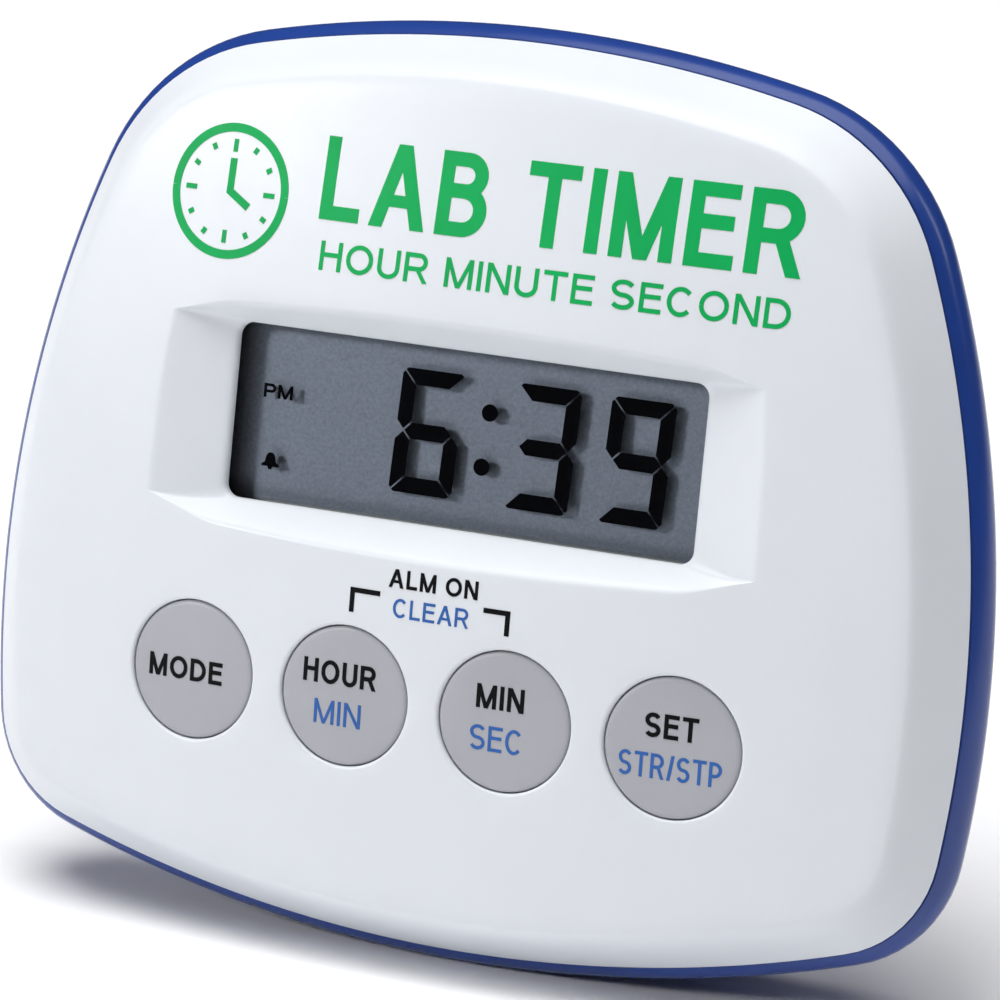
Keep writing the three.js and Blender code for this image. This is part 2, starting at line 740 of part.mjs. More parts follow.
function standFallAngle(tableHeight) {
  const drop = leanedHeight(HINGE.y, HINGE.z) - tableHeight;
  const run = STAND.length - STAND_FOOT;
  return Math.asin(drop / Math.hypot(run, STAND.outer)) - Math.atan2(STAND.outer, run);
}

// How far the stand swings out from its recess so that its foot lies flat on the table.
function standOpening(tableHeight) {
  return Math.PI / 2 - LEAN + standFallAngle(tableHeight);
}

function stand(fall) {
  const halfLength = STAND.length / 2;
  const shape = roundedRectangle(STAND.x, halfLength, STAND.corner);
  const flap = plate(shape, STAND.inner, STAND.outer, 0, halfLength);
  const squareRoot = block(-STAND.x, STAND.x, STAND.inner, STAND.outer, 0, STAND.corner + 1);
  const barrel = solid(
    new THREE.CylinderGeometry(STAND.barrel, STAND.barrel, 2 * STAND.x, ROUND).rotateZ(Math.PI / 2),
  );
  const bore = solid(
    new THREE.CylinderGeometry(PIN.bore, PIN.bore, 2 * STAND.x + 2, ROUND).rotateZ(Math.PI / 2),
  );
  const sunk = roundedRectangle(PANEL.x, PANEL.z, PANEL.corner);
  const panel = plate(sunk, STAND.outer - PANEL.deep, STAND.outer + 1, 0, PANEL.at);
  const table = new THREE.BoxGeometry(60, 10, 40)
    .translate(0, 5, 0)
    .rotateX(fall)
    .translate(0, STAND.outer, STAND.length - STAND_FOOT);
  return cut(join(flap, squareRoot, barrel), bore, panel, solid(table));
}

function standPin() {
  const pin = new THREE.CylinderGeometry(PIN.radius, PIN.radius, 2 * PIN.x, ROUND);
  return solid(pin.rotateZ(Math.PI / 2).translate(0, HINGE.y, HINGE.z));
}

// ---------------------------------------------------------------- assembly

function add(group, name, manifold, material) {
  const mesh = new THREE.Mesh(geometryOf(manifold), material.clone());
  mesh.name = name;
  group.add(mesh);
  return mesh;
}

function buildCase(group) {
  add(group, "front_shell", frontShell(), WHITE_PLASTIC);
  add(group, "rear_cover", rearCover(), BLUE_PLASTIC);
  add(group, "stand_pin", standPin(), STEEL);
  const seats = { magnet_left: -MAGNET.x, magnet_right: MAGNET.x };
  for (const [name, x] of Object.entries(seats)) {
    add(group, name, bar(MAGNET.radius, MAGNET.front, MAGNET.back, x, MAGNET.z), NICKEL);
  }
  for (const place of CASE_SCREWS) add(group, `case_screw_${place.name}`, caseScrew(place), STEEL);
}

function buildDisplay(group) {
  add(group, "lcd_gasket", gasket(), BLACK_FOAM);
  add(group, "lcd_front_glass", frontGlass(), GLASS_CLEAR);
  add(group, "lcd_rear_glass", rearGlass(), GLASS_CLEAR);
  add(group, "lcd_reflector", reflector(), REFLECTOR_GREY);
  add(group, "lcd_holder", lcdHolder(), HOLDER_WHITE);
  add(group, "zebra_connector", zebra(), ZEBRA_PINK);
}

function buildBoard(group) {
  add(group, "circuit_board", circuitBoard(), BOARD_GREEN);
  add(group, "processor_blob", processorBlob(), EPOXY_BLACK);
  add(group, "crystal_can", crystalCan(), NICKEL);
  add(group, "chip_capacitor", chip(CAPACITOR), CHIP_TAN);
  add(group, "chip_resistor", chip(RESISTOR), EPOXY_BLACK);
  add(group, "keypad_mat", keypadMat(), SILICONE);
  for (const place of BOARD_SCREWS) add(group, `board_screw_${place.name}`, boardScrew(place), STEEL);
}

function buildButtons(group) {
  for (const { name, x } of buttonPlaces()) {
    add(group, `button_${name}`, buttonCap(x), GREY_CAP);
    add(group, `key_boss_${name}`, keyBoss(x), SILICONE);
    add(group, `contact_pill_${name}`, bar(PILL.radius, PILL.front, PILL.back, x, 0, 16), CARBON);
  }
}

function buildPower(group) {
  add(group, "battery_cell", batteryCell(), NICKEL);
  add(group, "battery_contact_positive", positiveContact(), STEEL);
  add(group, "battery_contact_negative", negativeContact(), STEEL);
  add(group, "battery_door", batteryDoor(), BLUE_PLASTIC);
  add(group, "piezo_disc", piezoDisc(), BRASS);
  add(group, "piezo_ceramic", piezoCeramic(), CERAMIC);
  add(group, "piezo_wire_red", redWire(), WIRE_RED);
  add(group, "piezo_wire_black", blackWire(), WIRE_BLACK);
}

const timer = new THREE.Group();
buildCase(timer);
buildDisplay(timer);
buildBoard(timer);
buildButtons(timer);
buildPower(timer);

timer.rotation.x = -LEAN;
timer.updateMatrixWorld(true);
const tableHeight = new THREE.Box3().setFromObject(timer, true).min.z;

const hinge = new THREE.Group();
hinge.position.set(0, HINGE.y, HINGE.z);
hinge.rotation.x = -standOpening(tableHeight);
add(hinge, "stand", stand(standFallAngle(tableHeight)), BLUE_PLASTIC);
timer.add(hinge);

// The origin goes to the middle of the footprint, on the table.
timer.updateMatrixWorld(true);
const reach = new THREE.Box3().setFromObject(timer, true);
timer.position.set(0, -(reach.min.y + reach.max.y) / 2, -reach.min.z);

export default timer;
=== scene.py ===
"""Looks of a bench-top lab timer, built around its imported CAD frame.

Shapes are drawn in the face frame, in millimetres: X to the right along the face, Y from the
face back into the case, Z up along the face, with the origin on the crown of the face in the
middle of the button row. to_row() leans that frame back and carries it to the row frame.
"""

import json
import math

import bmesh
import bpy
import numpy as np
from mathutils import Matrix, Vector
from mathutils.geometry import delaunay_2d_cdt


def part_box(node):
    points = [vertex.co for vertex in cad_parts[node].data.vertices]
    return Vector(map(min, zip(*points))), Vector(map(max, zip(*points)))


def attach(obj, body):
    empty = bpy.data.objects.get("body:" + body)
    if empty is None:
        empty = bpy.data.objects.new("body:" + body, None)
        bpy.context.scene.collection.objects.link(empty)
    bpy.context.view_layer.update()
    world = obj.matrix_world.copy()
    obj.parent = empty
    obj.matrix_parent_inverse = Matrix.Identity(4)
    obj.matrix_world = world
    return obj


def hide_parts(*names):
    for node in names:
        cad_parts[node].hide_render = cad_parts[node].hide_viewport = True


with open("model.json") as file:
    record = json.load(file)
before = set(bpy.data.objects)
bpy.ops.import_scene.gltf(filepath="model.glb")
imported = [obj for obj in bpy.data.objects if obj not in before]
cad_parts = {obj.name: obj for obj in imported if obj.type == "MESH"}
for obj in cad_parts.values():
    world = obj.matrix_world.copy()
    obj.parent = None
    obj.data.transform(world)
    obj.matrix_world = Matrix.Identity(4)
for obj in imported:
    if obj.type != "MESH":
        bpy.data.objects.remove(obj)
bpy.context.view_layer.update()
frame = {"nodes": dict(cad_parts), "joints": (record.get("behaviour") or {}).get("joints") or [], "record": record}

MM = 0.001

# ---------------------------------------------------------------- dimensions, in millimetres

RIM_TOP = 47.2
RIM_ARCS = ((98, 12.2), (16.2, 68.6), (83, 97.6), (9.5, 162.6))  # radius, end angle from the top
RIM_STEP = 1.1

CROWN_ACROSS = 215
CROWN_UP = 205
CROWN_PEAK = 14

PARTING = 6.2
JOINT = 6.35
SHELL_EDGE = -0.95
CREASE = -3.45
WALL = 1.8
DEEPEST_LINING = 4.2
RIM_DEPTH = 8.1
BEAD = 2.087
BACK = 15.6
BACK_LINING = 11.4

WINDOW_X = 17.97
WINDOW_Z = 6.22
WINDOW_PLACE = (-0.12, 18.44)
WINDOW_CORNER = 1.0
WINDOW_DEPTH = 2.37
WINDOW_BACK = 2.85
WINDOW_EDGE = 0.16  # how far out on the bevel its rounded edge begins
BEVEL_SIDE = 3.27
BEVEL_UPRIGHT = 0.74
BEVEL_CORNER = -0.4  # the corners grow sharper towards the face
BEVEL_TAPER = (18.0, 23.1)  # where the upper and lower bevels narrow towards their points
TAPER_SHARE = 0.78
TAPER_POWER = 1.3
EASING_AT = (18, 22)  # how wide the recess's edge is eased, at these distances from its middle
EASING_WIDTHS = (0.45, 0.12)

KEYS = ("mode", "hour", "minute", "set")
KEY_PITCH = 12.34
KEY_MIDDLE = -0.12  # the caps sit a little left of and below the CAD buttons, as photographed
KEY_ROW = -0.14
KEY_RADIUS = 4.92
KEY_HOLE = 4.99
KEY_SINK = 0.12
FLANGE_RADIUS = 5.8
FLANGE_FRONT = 3.6
FLANGE_BACK = 4.3

CASE_SCREWS = {
    "top_right": (22.3, 35.1),
    "top_left": (-22.3, 35.1),
    "bottom_right": (27.6, -6.2),
    "bottom_left": (-27.6, -6.2),
}
BOARD_SCREWS = ((22.9, 30.0), (-22.9, 30.0), (22.9, 8.0), (-22.9, 8.0))

DOOR_Z = 29
LID_RADIUS = 8.5
LID_FRONT = 14.6
LID_BACK = 15.5
ARROW_RADIUS = 6.6
MAGNETS = {"magnet_left": (-20, 27), "magnet_right": (20, 27)}
SOUND_Z = 3
SOUND_RING = 3.2
SOUND_HOLE = 0.7

RECESS_X = 15.7
RECESS_LOW = -11.3
RECESS_HIGH = 15.0
RECESS_FLOOR = 12.7
THUMB_RADIUS = 3.2
THUMB_Z = 14

STAND_X = 15.2
STAND_LENGTH = 24
STAND_INNER = -0.9
STAND_OUTER = 1.1
STAND_BARREL = 1.3
STAND_CORNER = 3
STAND_FOOT = 2.4

SEGMENT_FRONT = 3.60
SEGMENT_BACK = 3.66

INK = 0.03  # how far print stands proud of its surface
SHARP = math.radians(35)  # edges that turn more than this stay crisp


# ---------------------------------------------------------------- the face frame

JOINTS = {joint["name"]: joint for joint in frame["joints"]}
FACE_NORMAL = Vector(JOINTS["press_mode"]["axis"])
LEAN = math.atan2(-FACE_NORMAL.z, FACE_NORMAL.y)
TURN = Matrix.Rotation(-LEAN, 3, "X")


def middle(node):
    low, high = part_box(node)
    return (low + high) / 2


GLASS_MIDDLE = Vector((0, 3.36, 18.52))
ORIGIN = middle("lcd_front_glass") - TURN @ GLASS_MIDDLE * MM
TURN_ROWS = np.array(TURN)
ORIGIN_ROW = np.array(ORIGIN)


def to_row(points):
    return np.asarray(points, float) @ TURN_ROWS.T * MM + ORIGIN_ROW


def crown(x, z):
    return x * x / (2 * CROWN_ACROSS) + ((z - CROWN_PEAK) ** 2 - CROWN_PEAK**2) / (2 * CROWN_UP)


def at_crown(extra=0.0):
    return lambda x, z: crown(x, z) + extra


def between_crown_and(depth, share):
    return lambda x, z: crown(x, z) * (1 - share) + depth * share


# ---------------------------------------------------------------- outlines, counterclockwise from ahead


def rim_samples():
    """Points and outward normals of the rim outline: X, Z, normal X, normal Z."""
    arcs = [(radius, math.radians(end)) for radius, end in RIM_ARCS]
    reach, start = 0.0, 0.0
    for radius, end in arcs:
        reach += radius * (math.sin(end) - math.sin(start))
        start = end
    arcs.append((reach / math.sin(start), math.pi))
    half = [(0.0, RIM_TOP, 0.0, 1.0)]
    start = 0.0
    for radius, end in arcs:
        x, z = half[-1][:2]
        centre_x, centre_z = x - radius * math.sin(start), z - radius * math.cos(start)
        steps = max(6, round(radius * (end - start) / RIM_STEP))
        for step in range(1, steps + 1):
            angle = start + (end - start) * step / steps
            across, up = math.sin(angle), math.cos(angle)
            half.append((centre_x + radius * across, centre_z + radius * up, across, up))
        start = end
    half[-1] = (0.0, half[-1][1], 0.0, -1.0)
    left = [(-x, z, -across, up) for x, z, across, up in half[1:-1]]
    return np.array(left + half[:0:-1] + half[:1])


def ordered(samples):
    """The same points, sorted counterclockwise about the middle of the outline."""
    angle = np.arctan2(samples[:, 1] - CROWN_PEAK, samples[:, 0])
    return samples[np.argsort(angle)]


RIM = ordered(rim_samples())


def rim(offset):
    return RIM[:, :2] + offset * RIM[:, 2:]


def circle(radius, x=0.0, z=0.0, sides=64):
    angle = np.arange(sides) / sides * 2 * math.pi
    return np.column_stack((x + radius * np.cos(angle), z + radius * np.sin(angle)))


def rounded_rectangle(half_x, half_z, corner, sides=(44, 18), turns=8, x=0.0, z=0.0):
    reach_x, reach_z = half_x - corner, half_z - corner
    corners = [(reach_x, -reach_z), (reach_x, reach_z), (-reach_x, reach_z), (-reach_x, -reach_z)]
    points = []
    for number, (corner_x, corner_z) in enumerate(corners):
        for step in range(turns + 1):
            angle = math.radians(90 * (number - 1) + 90 * step / turns)
            points.append((corner_x + corner * math.cos(angle), corner_z + corner * math.sin(angle)))
        next_x, next_z = corners[(number + 1) % 4]
        angle = math.radians(90 * number)
        goal = np.array((next_x + corner * math.cos(angle), next_z + corner * math.sin(angle)))
        start = np.array(points[-1])
        count = sides[1] if number % 2 == 0 else sides[0]
        points += [tuple(start + (goal - start) * step / count) for step in range(1, count)]
    return np.array(points) + (x, z)


def grown(outline, by):
    """An outline moved outwards by a small distance, along the normals at its points."""
    along = np.roll(outline, -1, 0) - np.roll(outline, 1, 0)
    normal = np.column_stack((along[:, 1], -along[:, 0]))
    return outline + by * normal / np.linalg.norm(normal, axis=1)[:, None]


def eased(corners, steps=4):
    """A section through corners given as (out, depth) or (out, depth, radius), with those rounded."""
    section = []
    for number, corner in enumerate(corners):
        here = np.array(corner[:2], float)
        if len(corner) < 3:
            section.append(tuple(here))
            continue
        before = np.array(corners[number - 1][:2], float) - here
        after = np.array(corners[number + 1][:2], float) - here
        start = here + before * min(0.5, corner[2] / np.linalg.norm(before))
        end = here + after * min(0.5, corner[2] / np.linalg.norm(after))
        for step in range(steps + 1):
            t = step / steps
            section.append(tuple((1 - t) ** 2 * start + 2 * t * (1 - t) * here + t * t * end))
    return section


# ---------------------------------------------------------------- skins


def within(points, outline):
    """Which points lie inside a closed outline."""
    x, z = points[:, :1], points[:, 1:]
    x0, z0 = outline[:, 0], outline[:, 1]
    x1, z1 = np.roll(x0, -1), np.roll(z0, -1)
    rise = np.where(z1 == z0, 1e-12, z1 - z0)
    crossed = ((z0 > z) != (z1 > z)) & (x < x0 + (z - z0) * (x1 - x0) / rise)
    return crossed.sum(1) % 2 == 1


class Skin:
    """Points in the face frame and the faces between them, gathered into one mesh."""

    def __init__(self):
        self.points = []
        self.faces = []

    def ring(self, outline, depth):
        start = len(self.points)
        for x, z in outline:
            self.points.append((x, depth(x, z) if callable(depth) else depth, z))
        return list(range(start, len(self.points)))

    def band(self, first, second):
        count = len(first)
        for i in range(count):
            j = (i + 1) % count
            self.faces.append((first[i], second[i], second[j], first[j]))

    def bands(self, rings):
        for first, second in zip(rings, rings[1:]):
            self.band(first, second)

    def cap(self, ring):
        centre = np.mean([self.points[i] for i in ring], 0)
        self.points.append(tuple(centre))
        hub = len(self.points) - 1
        for i, point in enumerate(ring):
            self.faces.append((hub, point, ring[(i + 1) % len(ring)]))

    def flat(self, ring):
        return np.array([(self.points[i][0], self.points[i][2]) for i in ring])

    def fill(self, outer, holes, depth, spacing):
        """Triangles between an outer ring and the rings of its holes, on a surface given by depth."""
        edges_at = [self.flat(ring) for ring in (outer, *holes)]
        low, high = edges_at[0].min(0), edges_at[0].max(0)
        rows = np.arange(low[1] + spacing / 2, high[1], spacing * 0.87)
        grid = [
            (x, z)
            for number, z in enumerate(rows)
            for x in np.arange(low[0] + spacing * (0.25 + 0.5 * (number % 2)), high[0], spacing)
        ]
        grid = np.array(grid)
        keep = within(grid, edges_at[0])
        for outline in edges_at[1:]:
            keep &= ~within(grid, outline)
        grid = grid[keep]
        border = np.concatenate(edges_at)
        gap = np.min(np.linalg.norm(grid[:, None] - border[None], axis=2), axis=1)
        grid = grid[gap > 0.55 * spacing]
        known = [i for ring in (outer, *holes) for i in ring]
        loops, start = [], 0
        for ring in (outer, *holes):
            loops += [(start + i, start + (i + 1) % len(ring)) for i in range(len(ring))]
            start += len(ring)
        flat = [Vector(point) for point in np.concatenate((border, grid))]
        made = delaunay_2d_cdt(flat, loops, [], 0, 1e-7, True)
        inner = self.ring(grid, depth)
        index = [(known + inner)[origins[0]] if origins else None for origins in made[3]]
        centres = np.array([np.mean([made[0][i] for i in face], 0) for face in made[2]])
        keep = within(centres, edges_at[0])
        for outline in edges_at[1:]:
            keep &= ~within(centres, outline)
        for face, kept in zip(made[2], keep):
            if kept:
                self.faces.append(tuple(index[i] for i in face))

    def circles(self, section, x, z, sides):
        """Rings round a line along Y, from (radius, depth) pairs."""
        return [self.ring(circle(radius, x, z, sides), depth) for radius, depth in section]

    def turned(self, section, x, z, sides):
        """A closed piece turned about a line along Y, from its section of (radius, depth) pairs."""
        rings = self.circles(section, x, z, sides)
        self.bands(rings)
        self.cap(rings[0])
        self.cap(rings[-1])

    def block(self, low, high):
        (x0, y0, z0), (x1, y1, z1) = low, high
        base = [(x0, z0), (x1, z0), (x1, z1), (x0, z1)]
        front, back = self.ring(base, y0), self.ring(base, y1)
        self.band(front, back)
        self.faces.append(tuple(front))
        self.faces.append(tuple(back))


def mesh_from(name, skin, place=None):
    """A mesh in the row frame, with its faces turned outwards and its sharp edges kept."""
    points = np.array(skin.points, float)
    if place is not None:
        points = place(points)
    mesh = bpy.data.meshes.new(name)
    mesh.from_pydata(to_row(points).tolist(), [], skin.faces)
    work = bmesh.new()
    work.from_mesh(mesh)
    bmesh.ops.recalc_face_normals(work, faces=work.faces)
    work.to_mesh(mesh)
    work.free()
    mesh.shade_smooth()
    mesh.set_sharp_from_angle(angle=SHARP)
    return mesh


def piece(name, mesh, material, body, slot=None, nodes=()):
    shown = bpy.data.objects.new(name, mesh)
    mesh.materials.clear()
    mesh.materials.append(material)
    bpy.context.scene.collection.objects.link(shown)
    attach(shown, body)
    if nodes:
        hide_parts(*nodes)


def add_solid(name, skin, *place):
    """A piece made from a skin, with its material, body, slot (which piece does not use) and replaced nodes as in
    piece.
    """
    piece(name, mesh_from(name, skin), *place)


# ---------------------------------------------------------------- materials


def start_material(name):
    material = bpy.data.materials.new(name)
    material.use_nodes = True
    nodes = material.node_tree.nodes
    return material, nodes, material.node_tree.links, nodes["Principled BSDF"]


def noise(nodes, links, size, detail=2.0, stretch=None):
    """A noise texture whose features are about size millimetres wide."""
    place = nodes.new("ShaderNodeTexCoord")
    texture = nodes.new("ShaderNodeTexNoise")
    texture.inputs["Scale"].default_value = 1 / (size * MM)
    texture.inputs["Detail"].default_value = detail
    if stretch:
        mapping = nodes.new("ShaderNodeMapping")
        mapping.inputs["Scale"].default_value = stretch
        links.new(place.outputs["Object"], mapping.inputs["Vector"])
        links.new(mapping.outputs["Vector"], texture.inputs["Vector"])
    else:
        links.new(place.outputs["Object"], texture.inputs["Vector"])
    return texture.outputs["Fac"]


def ramp(nodes, links, factor, low, high, start=0.3, end=0.7):
    """A colour that goes from low to high as the factor goes from start to end."""
    node = nodes.new("ShaderNodeValToRGB")
    node.color_ramp.elements[0].position = start
    node.color_ramp.elements[1].position = end
    node.color_ramp.elements[0].color = (*low, 1)
    node.color_ramp.elements[1].color = (*high, 1)
    links.new(factor, node.inputs["Fac"])
    return node.outputs["Color"]


def spread(nodes, links, factor, low, high):
    node = nodes.new("ShaderNodeMapRange")
    node.inputs["To Min"].default_value = low
    node.inputs["To Max"].default_value = high
    links.new(factor, node.inputs["Value"])
    return node.outputs["Result"]


def add_bump(nodes, links, shader, height, depth):
    """A relief of depth millimetres."""
    bump = nodes.new("ShaderNodeBump")
    bump.inputs["Distance"].default_value = depth * MM
    links.new(height, bump.inputs["Height"])
    links.new(bump.outputs["Normal"], shader.inputs["Normal"])


def plastic(name, color, roughness, grain=0.16, relief=0.004, variation=0.03, coat=0.0, specular=0.5):
    """Moulded plastic: an even colour with faint clouding, fine mould texture and uneven sheen."""
    material, nodes, links, shader = start_material(name)
    clouds = noise(nodes, links, 7, 3)
    darker = tuple(c * (1 - variation) for c in color)
    links.new(ramp(nodes, links, clouds, darker, color), shader.inputs["Base Color"])
    patches = noise(nodes, links, 2.3, 4)
    sheen = spread(nodes, links, patches, roughness * 0.85, roughness * 1.15)
    links.new(sheen, shader.inputs["Roughness"])
    shader.inputs["Specular IOR Level"].default_value = specular
    shader.inputs["Coat Weight"].default_value = coat
    shader.inputs["Coat Roughness"].default_value = 0.08
    if relief:
        add_bump(nodes, links, shader, noise(nodes, links, grain, 3), relief)
    return material


def metal(name, color, roughness, grain=0.3, stretch=None, variation=0.12):
    """Plated or rolled metal: worn patches in its colour and fine scratches in its gloss."""
    material, nodes, links, shader = start_material(name)
    wear = noise(nodes, links, 1.7, 5)
    darker = tuple(c * (1 - variation) for c in color)
    links.new(ramp(nodes, links, wear, darker, color), shader.inputs["Base Color"])
    scratches = noise(nodes, links, grain, 4, stretch)
    gloss = spread(nodes, links, scratches, roughness * 0.6, roughness * 1.5)
    links.new(gloss, shader.inputs["Roughness"])
    shader.inputs["Metallic"].default_value = 1.0
    add_bump(nodes, links, shader, scratches, 0.003)
    return material


def rubber(name, color, roughness=0.75):
    return plastic(name, color, roughness, grain=0.3, relief=0.012, variation=0.1, specular=0.35)


def glass(name, tint, haze):
    """A thin pane that lets lamps through: clear, with a slight tint and its own mirror sheen."""
    material, nodes, links, shader = start_material(name)
    nodes.remove(shader)
    clear = nodes.new("ShaderNodeBsdfTransparent")
    clear.inputs["Color"].default_value = (*tint, 1)
    shine = nodes.new("ShaderNodeBsdfGlossy")
    shine.inputs["Roughness"].default_value = haze
    mix = nodes.new("ShaderNodeMixShader")
    edge = nodes.new("ShaderNodeFresnel")
    edge.inputs["IOR"].default_value = 1.3
    smear = noise(nodes, links, 5, 3)
    add_bump(nodes, links, shine, smear, 0.002)
    links.new(edge.outputs["Fac"], mix.inputs["Fac"])
    links.new(clear.outputs["BSDF"], mix.inputs[1])
    links.new(shine.outputs["BSDF"], mix.inputs[2])
    links.new(mix.outputs["Shader"], nodes["Material Output"].inputs["Surface"])
    return material


def film(name, color, roughness):
    """The display's rear film: a fine silvery grain under an even grey."""
    material, nodes, links, shader = start_material(name)
    speckle = noise(nodes, links, 0.22, 2)
    low = tuple(c * 0.86 for c in color)
    high = tuple(c * 1.12 for c in color)
    links.new(ramp(nodes, links, speckle, low, high), shader.inputs["Base Color"])
    shader.inputs["Roughness"].default_value = roughness
    shader.inputs["Metallic"].default_value = 0.75
    add_bump(nodes, links, shader, speckle, 0.004)
    return material


def printed(name, color, roughness=0.5, specular=0.2):
    """Pad-printed ink, with a slightly uneven coat."""
    return plastic(name, color, roughness, relief=0.0, variation=0.12, specular=specular)


def layered(name, first, second, pitch, roughness=0.7):
    """Thin layers of two colours side by side along X, as in a zebra strip."""
    material, nodes, links, shader = start_material(name)
    place = nodes.new("ShaderNodeTexCoord")
    wave = nodes.new("ShaderNodeTexWave")
    wave.inputs["Scale"].default_value = 1 / (pitch * MM) / 20
    wave.inputs["Distortion"].default_value = 0.0
    links.new(place.outputs["Object"], wave.inputs["Vector"])
    color = ramp(nodes, links, wave.outputs["Fac"], first, second, 0.45, 0.55)
    links.new(color, shader.inputs["Base Color"])
    shader.inputs["Roughness"].default_value = roughness
    add_bump(nodes, links, shader, wave.outputs["Fac"], 0.01)
    return material


def board_material(name):
    """Solder mask over copper tracks, with a faint weave of the glass cloth below."""
    material, nodes, links, shader = start_material(name)
    place = nodes.new("ShaderNodeTexCoord")
    tracks = nodes.new("ShaderNodeTexBrick")
    tracks.inputs["Scale"].default_value = 1 / (6 * MM)
    tracks.inputs["Mortar Size"].default_value = 0.06
    tracks.inputs["Color1"].default_value = (0.012, 0.11, 0.045, 1)
    tracks.inputs["Color2"].default_value = (0.015, 0.13, 0.05, 1)
    tracks.inputs["Mortar"].default_value = (0.05, 0.27, 0.10, 1)
    mapping = nodes.new("ShaderNodeMapping")
    mapping.inputs["Rotation"].default_value = (math.pi / 2, 0, 0)
    links.new(place.outputs["Object"], mapping.inputs["Vector"])
    links.new(mapping.outputs["Vector"], tracks.inputs["Vector"])
    links.new(tracks.outputs["Color"], shader.inputs["Base Color"])
    shader.inputs["Roughness"].default_value = 0.28
    add_bump(nodes, links, shader, tracks.outputs["Fac"], 0.03)
    return material


WHITE = plastic("white_shell", (0.665, 0.695, 0.735), 0.36, grain=0.14, relief=0.0035, variation=0.02)
BLUE = plastic("blue_cover", (0.013, 0.045, 0.235), 0.24, grain=0.5, relief=0.002, variation=0.12)
GREY = plastic("grey_cap", (0.37, 0.375, 0.41), 0.42, grain=0.12, relief=0.004, variation=0.05)
SILICONE = rubber("silicone", (0.56, 0.54, 0.48))
CARBON = rubber("carbon", (0.012, 0.012, 0.013))
GLASS = glass("lcd_glass", (0.97, 0.985, 0.98), 0.06)
REAR_FILM = film("reflector", (0.31, 0.315, 0.405), 0.46)
FOAM = rubber("black_foam", (0.006, 0.006, 0.007), 0.9)
HOLDER = plastic("holder_plastic", (0.72, 0.74, 0.70), 0.5)
ZEBRA = layered("zebra_rubber", (0.02, 0.02, 0.02), (0.62, 0.32, 0.34), 0.1)
BOARD = board_material("board")
EPOXY = plastic("epoxy", (0.004, 0.004, 0.005), 0.25, grain=0.6, relief=0.01, coat=0.3)
STEEL = metal("steel", (0.52, 0.53, 0.55), 0.3)
NICKEL = metal("nickel", (0.66, 0.67, 0.69), 0.2, grain=0.25)
BRASS = metal("brass", (0.62, 0.42, 0.12), 0.3, stretch=(1, 1, 8))
CERAMIC = plastic("ceramic", (0.76, 0.75, 0.68), 0.5, grain=0.2, relief=0.006)
CHIP = plastic("chip", (0.34, 0.22, 0.11), 0.55, grain=0.2)
WIRE_RED = plastic("wire_red", (0.45, 0.02, 0.015), 0.4)
WIRE_BLACK = plastic("wire_black", (0.008, 0.008, 0.009), 0.4)
INK_GREEN = printed("ink_green", (0.0, 0.36, 0.085))
INK_BLACK = printed("ink_black", (0.002, 0.002, 0.003), 0.5, 0.1)
INK_BLUE = printed("ink_blue", (0.03, 0.115, 0.38))
SEGMENTS = printed("lcd_segments", (0.003, 0.003, 0.005), 0.8, 0.0)

SLOT_MATERIALS = {
    "white_shell": WHITE,
    "blue_cover": BLUE,
    "grey_cap": GREY,
    "silicone": SILICONE,
    "carbon": CARBON,
    "lcd_glass": GLASS,
    "reflector": REAR_FILM,
    "black_foam": FOAM,
    "holder_plastic": HOLDER,
    "zebra_rubber": ZEBRA,
    "board": BOARD,
    "epoxy": EPOXY,
    "steel": STEEL,
    "nickel": NICKEL,
    "brass": BRASS,
    "ceramic": CERAMIC,
    "chip": CHIP,
    "wire_red": WIRE_RED,
    "wire_black": WIRE_BLACK,
}


# ---------------------------------------------------------------- front shell


def key_places():
    return {name: KEY_MIDDLE + (i - 1.5) * KEY_PITCH for i, name in enumerate(KEYS)}


def window_outline(out):
    """The window's outline on its bevel, out millimetres ahead of the bevel's rear edge."""
    outline = rounded_rectangle(
        WINDOW_X + BEVEL_SIDE * out,
        WINDOW_Z + BEVEL_UPRIGHT * out,
        max(WINDOW_CORNER + BEVEL_CORNER * out, 0.3),
    )
    start, end = BEVEL_TAPER
    past = np.clip((np.abs(outline[:, 0]) - start) / (end - start), 0, 1.1)
    extra = np.maximum(np.abs(outline[:, 1]) - WINDOW_Z, 0)
    outline[:, 1] -= np.sign(outline[:, 1]) * extra * TAPER_SHARE * past**TAPER_POWER
    return outline + WINDOW_PLACE


def bevel_reach():
    """How far out the bevel meets the crown, for each point round the window."""
    count = len(window_outline(0))
    low, high = np.zeros(count), np.full(count, 4.0)
    for _ in range(30):
        out = (low + high) / 2
        points = bevel_points(out)
        below = WINDOW_DEPTH - out > crown(points[:, 0], points[:, 1])
        low, high = np.where(below, out, low), np.where(below, high, out)
    return (low + high) / 2


def bevel_points(out):
    """Each point of the window's outline, moved out on the bevel by its own amount."""
    levels = np.linspace(0, 6, 121)
    table = np.array([window_outline(level) for level in levels])
    x = [np.interp(o, levels, table[:, i, 0]) for i, o in enumerate(out)]
    z = [np.interp(o, levels, table[:, i, 1]) for i, o in enumerate(out)]
    return np.column_stack((x, z))


def eased_max(a, b, width):
    overlap = np.maximum(width - np.abs(a - b), 0) / width
    return np.maximum(a, b) + overlap**2 * width / 4


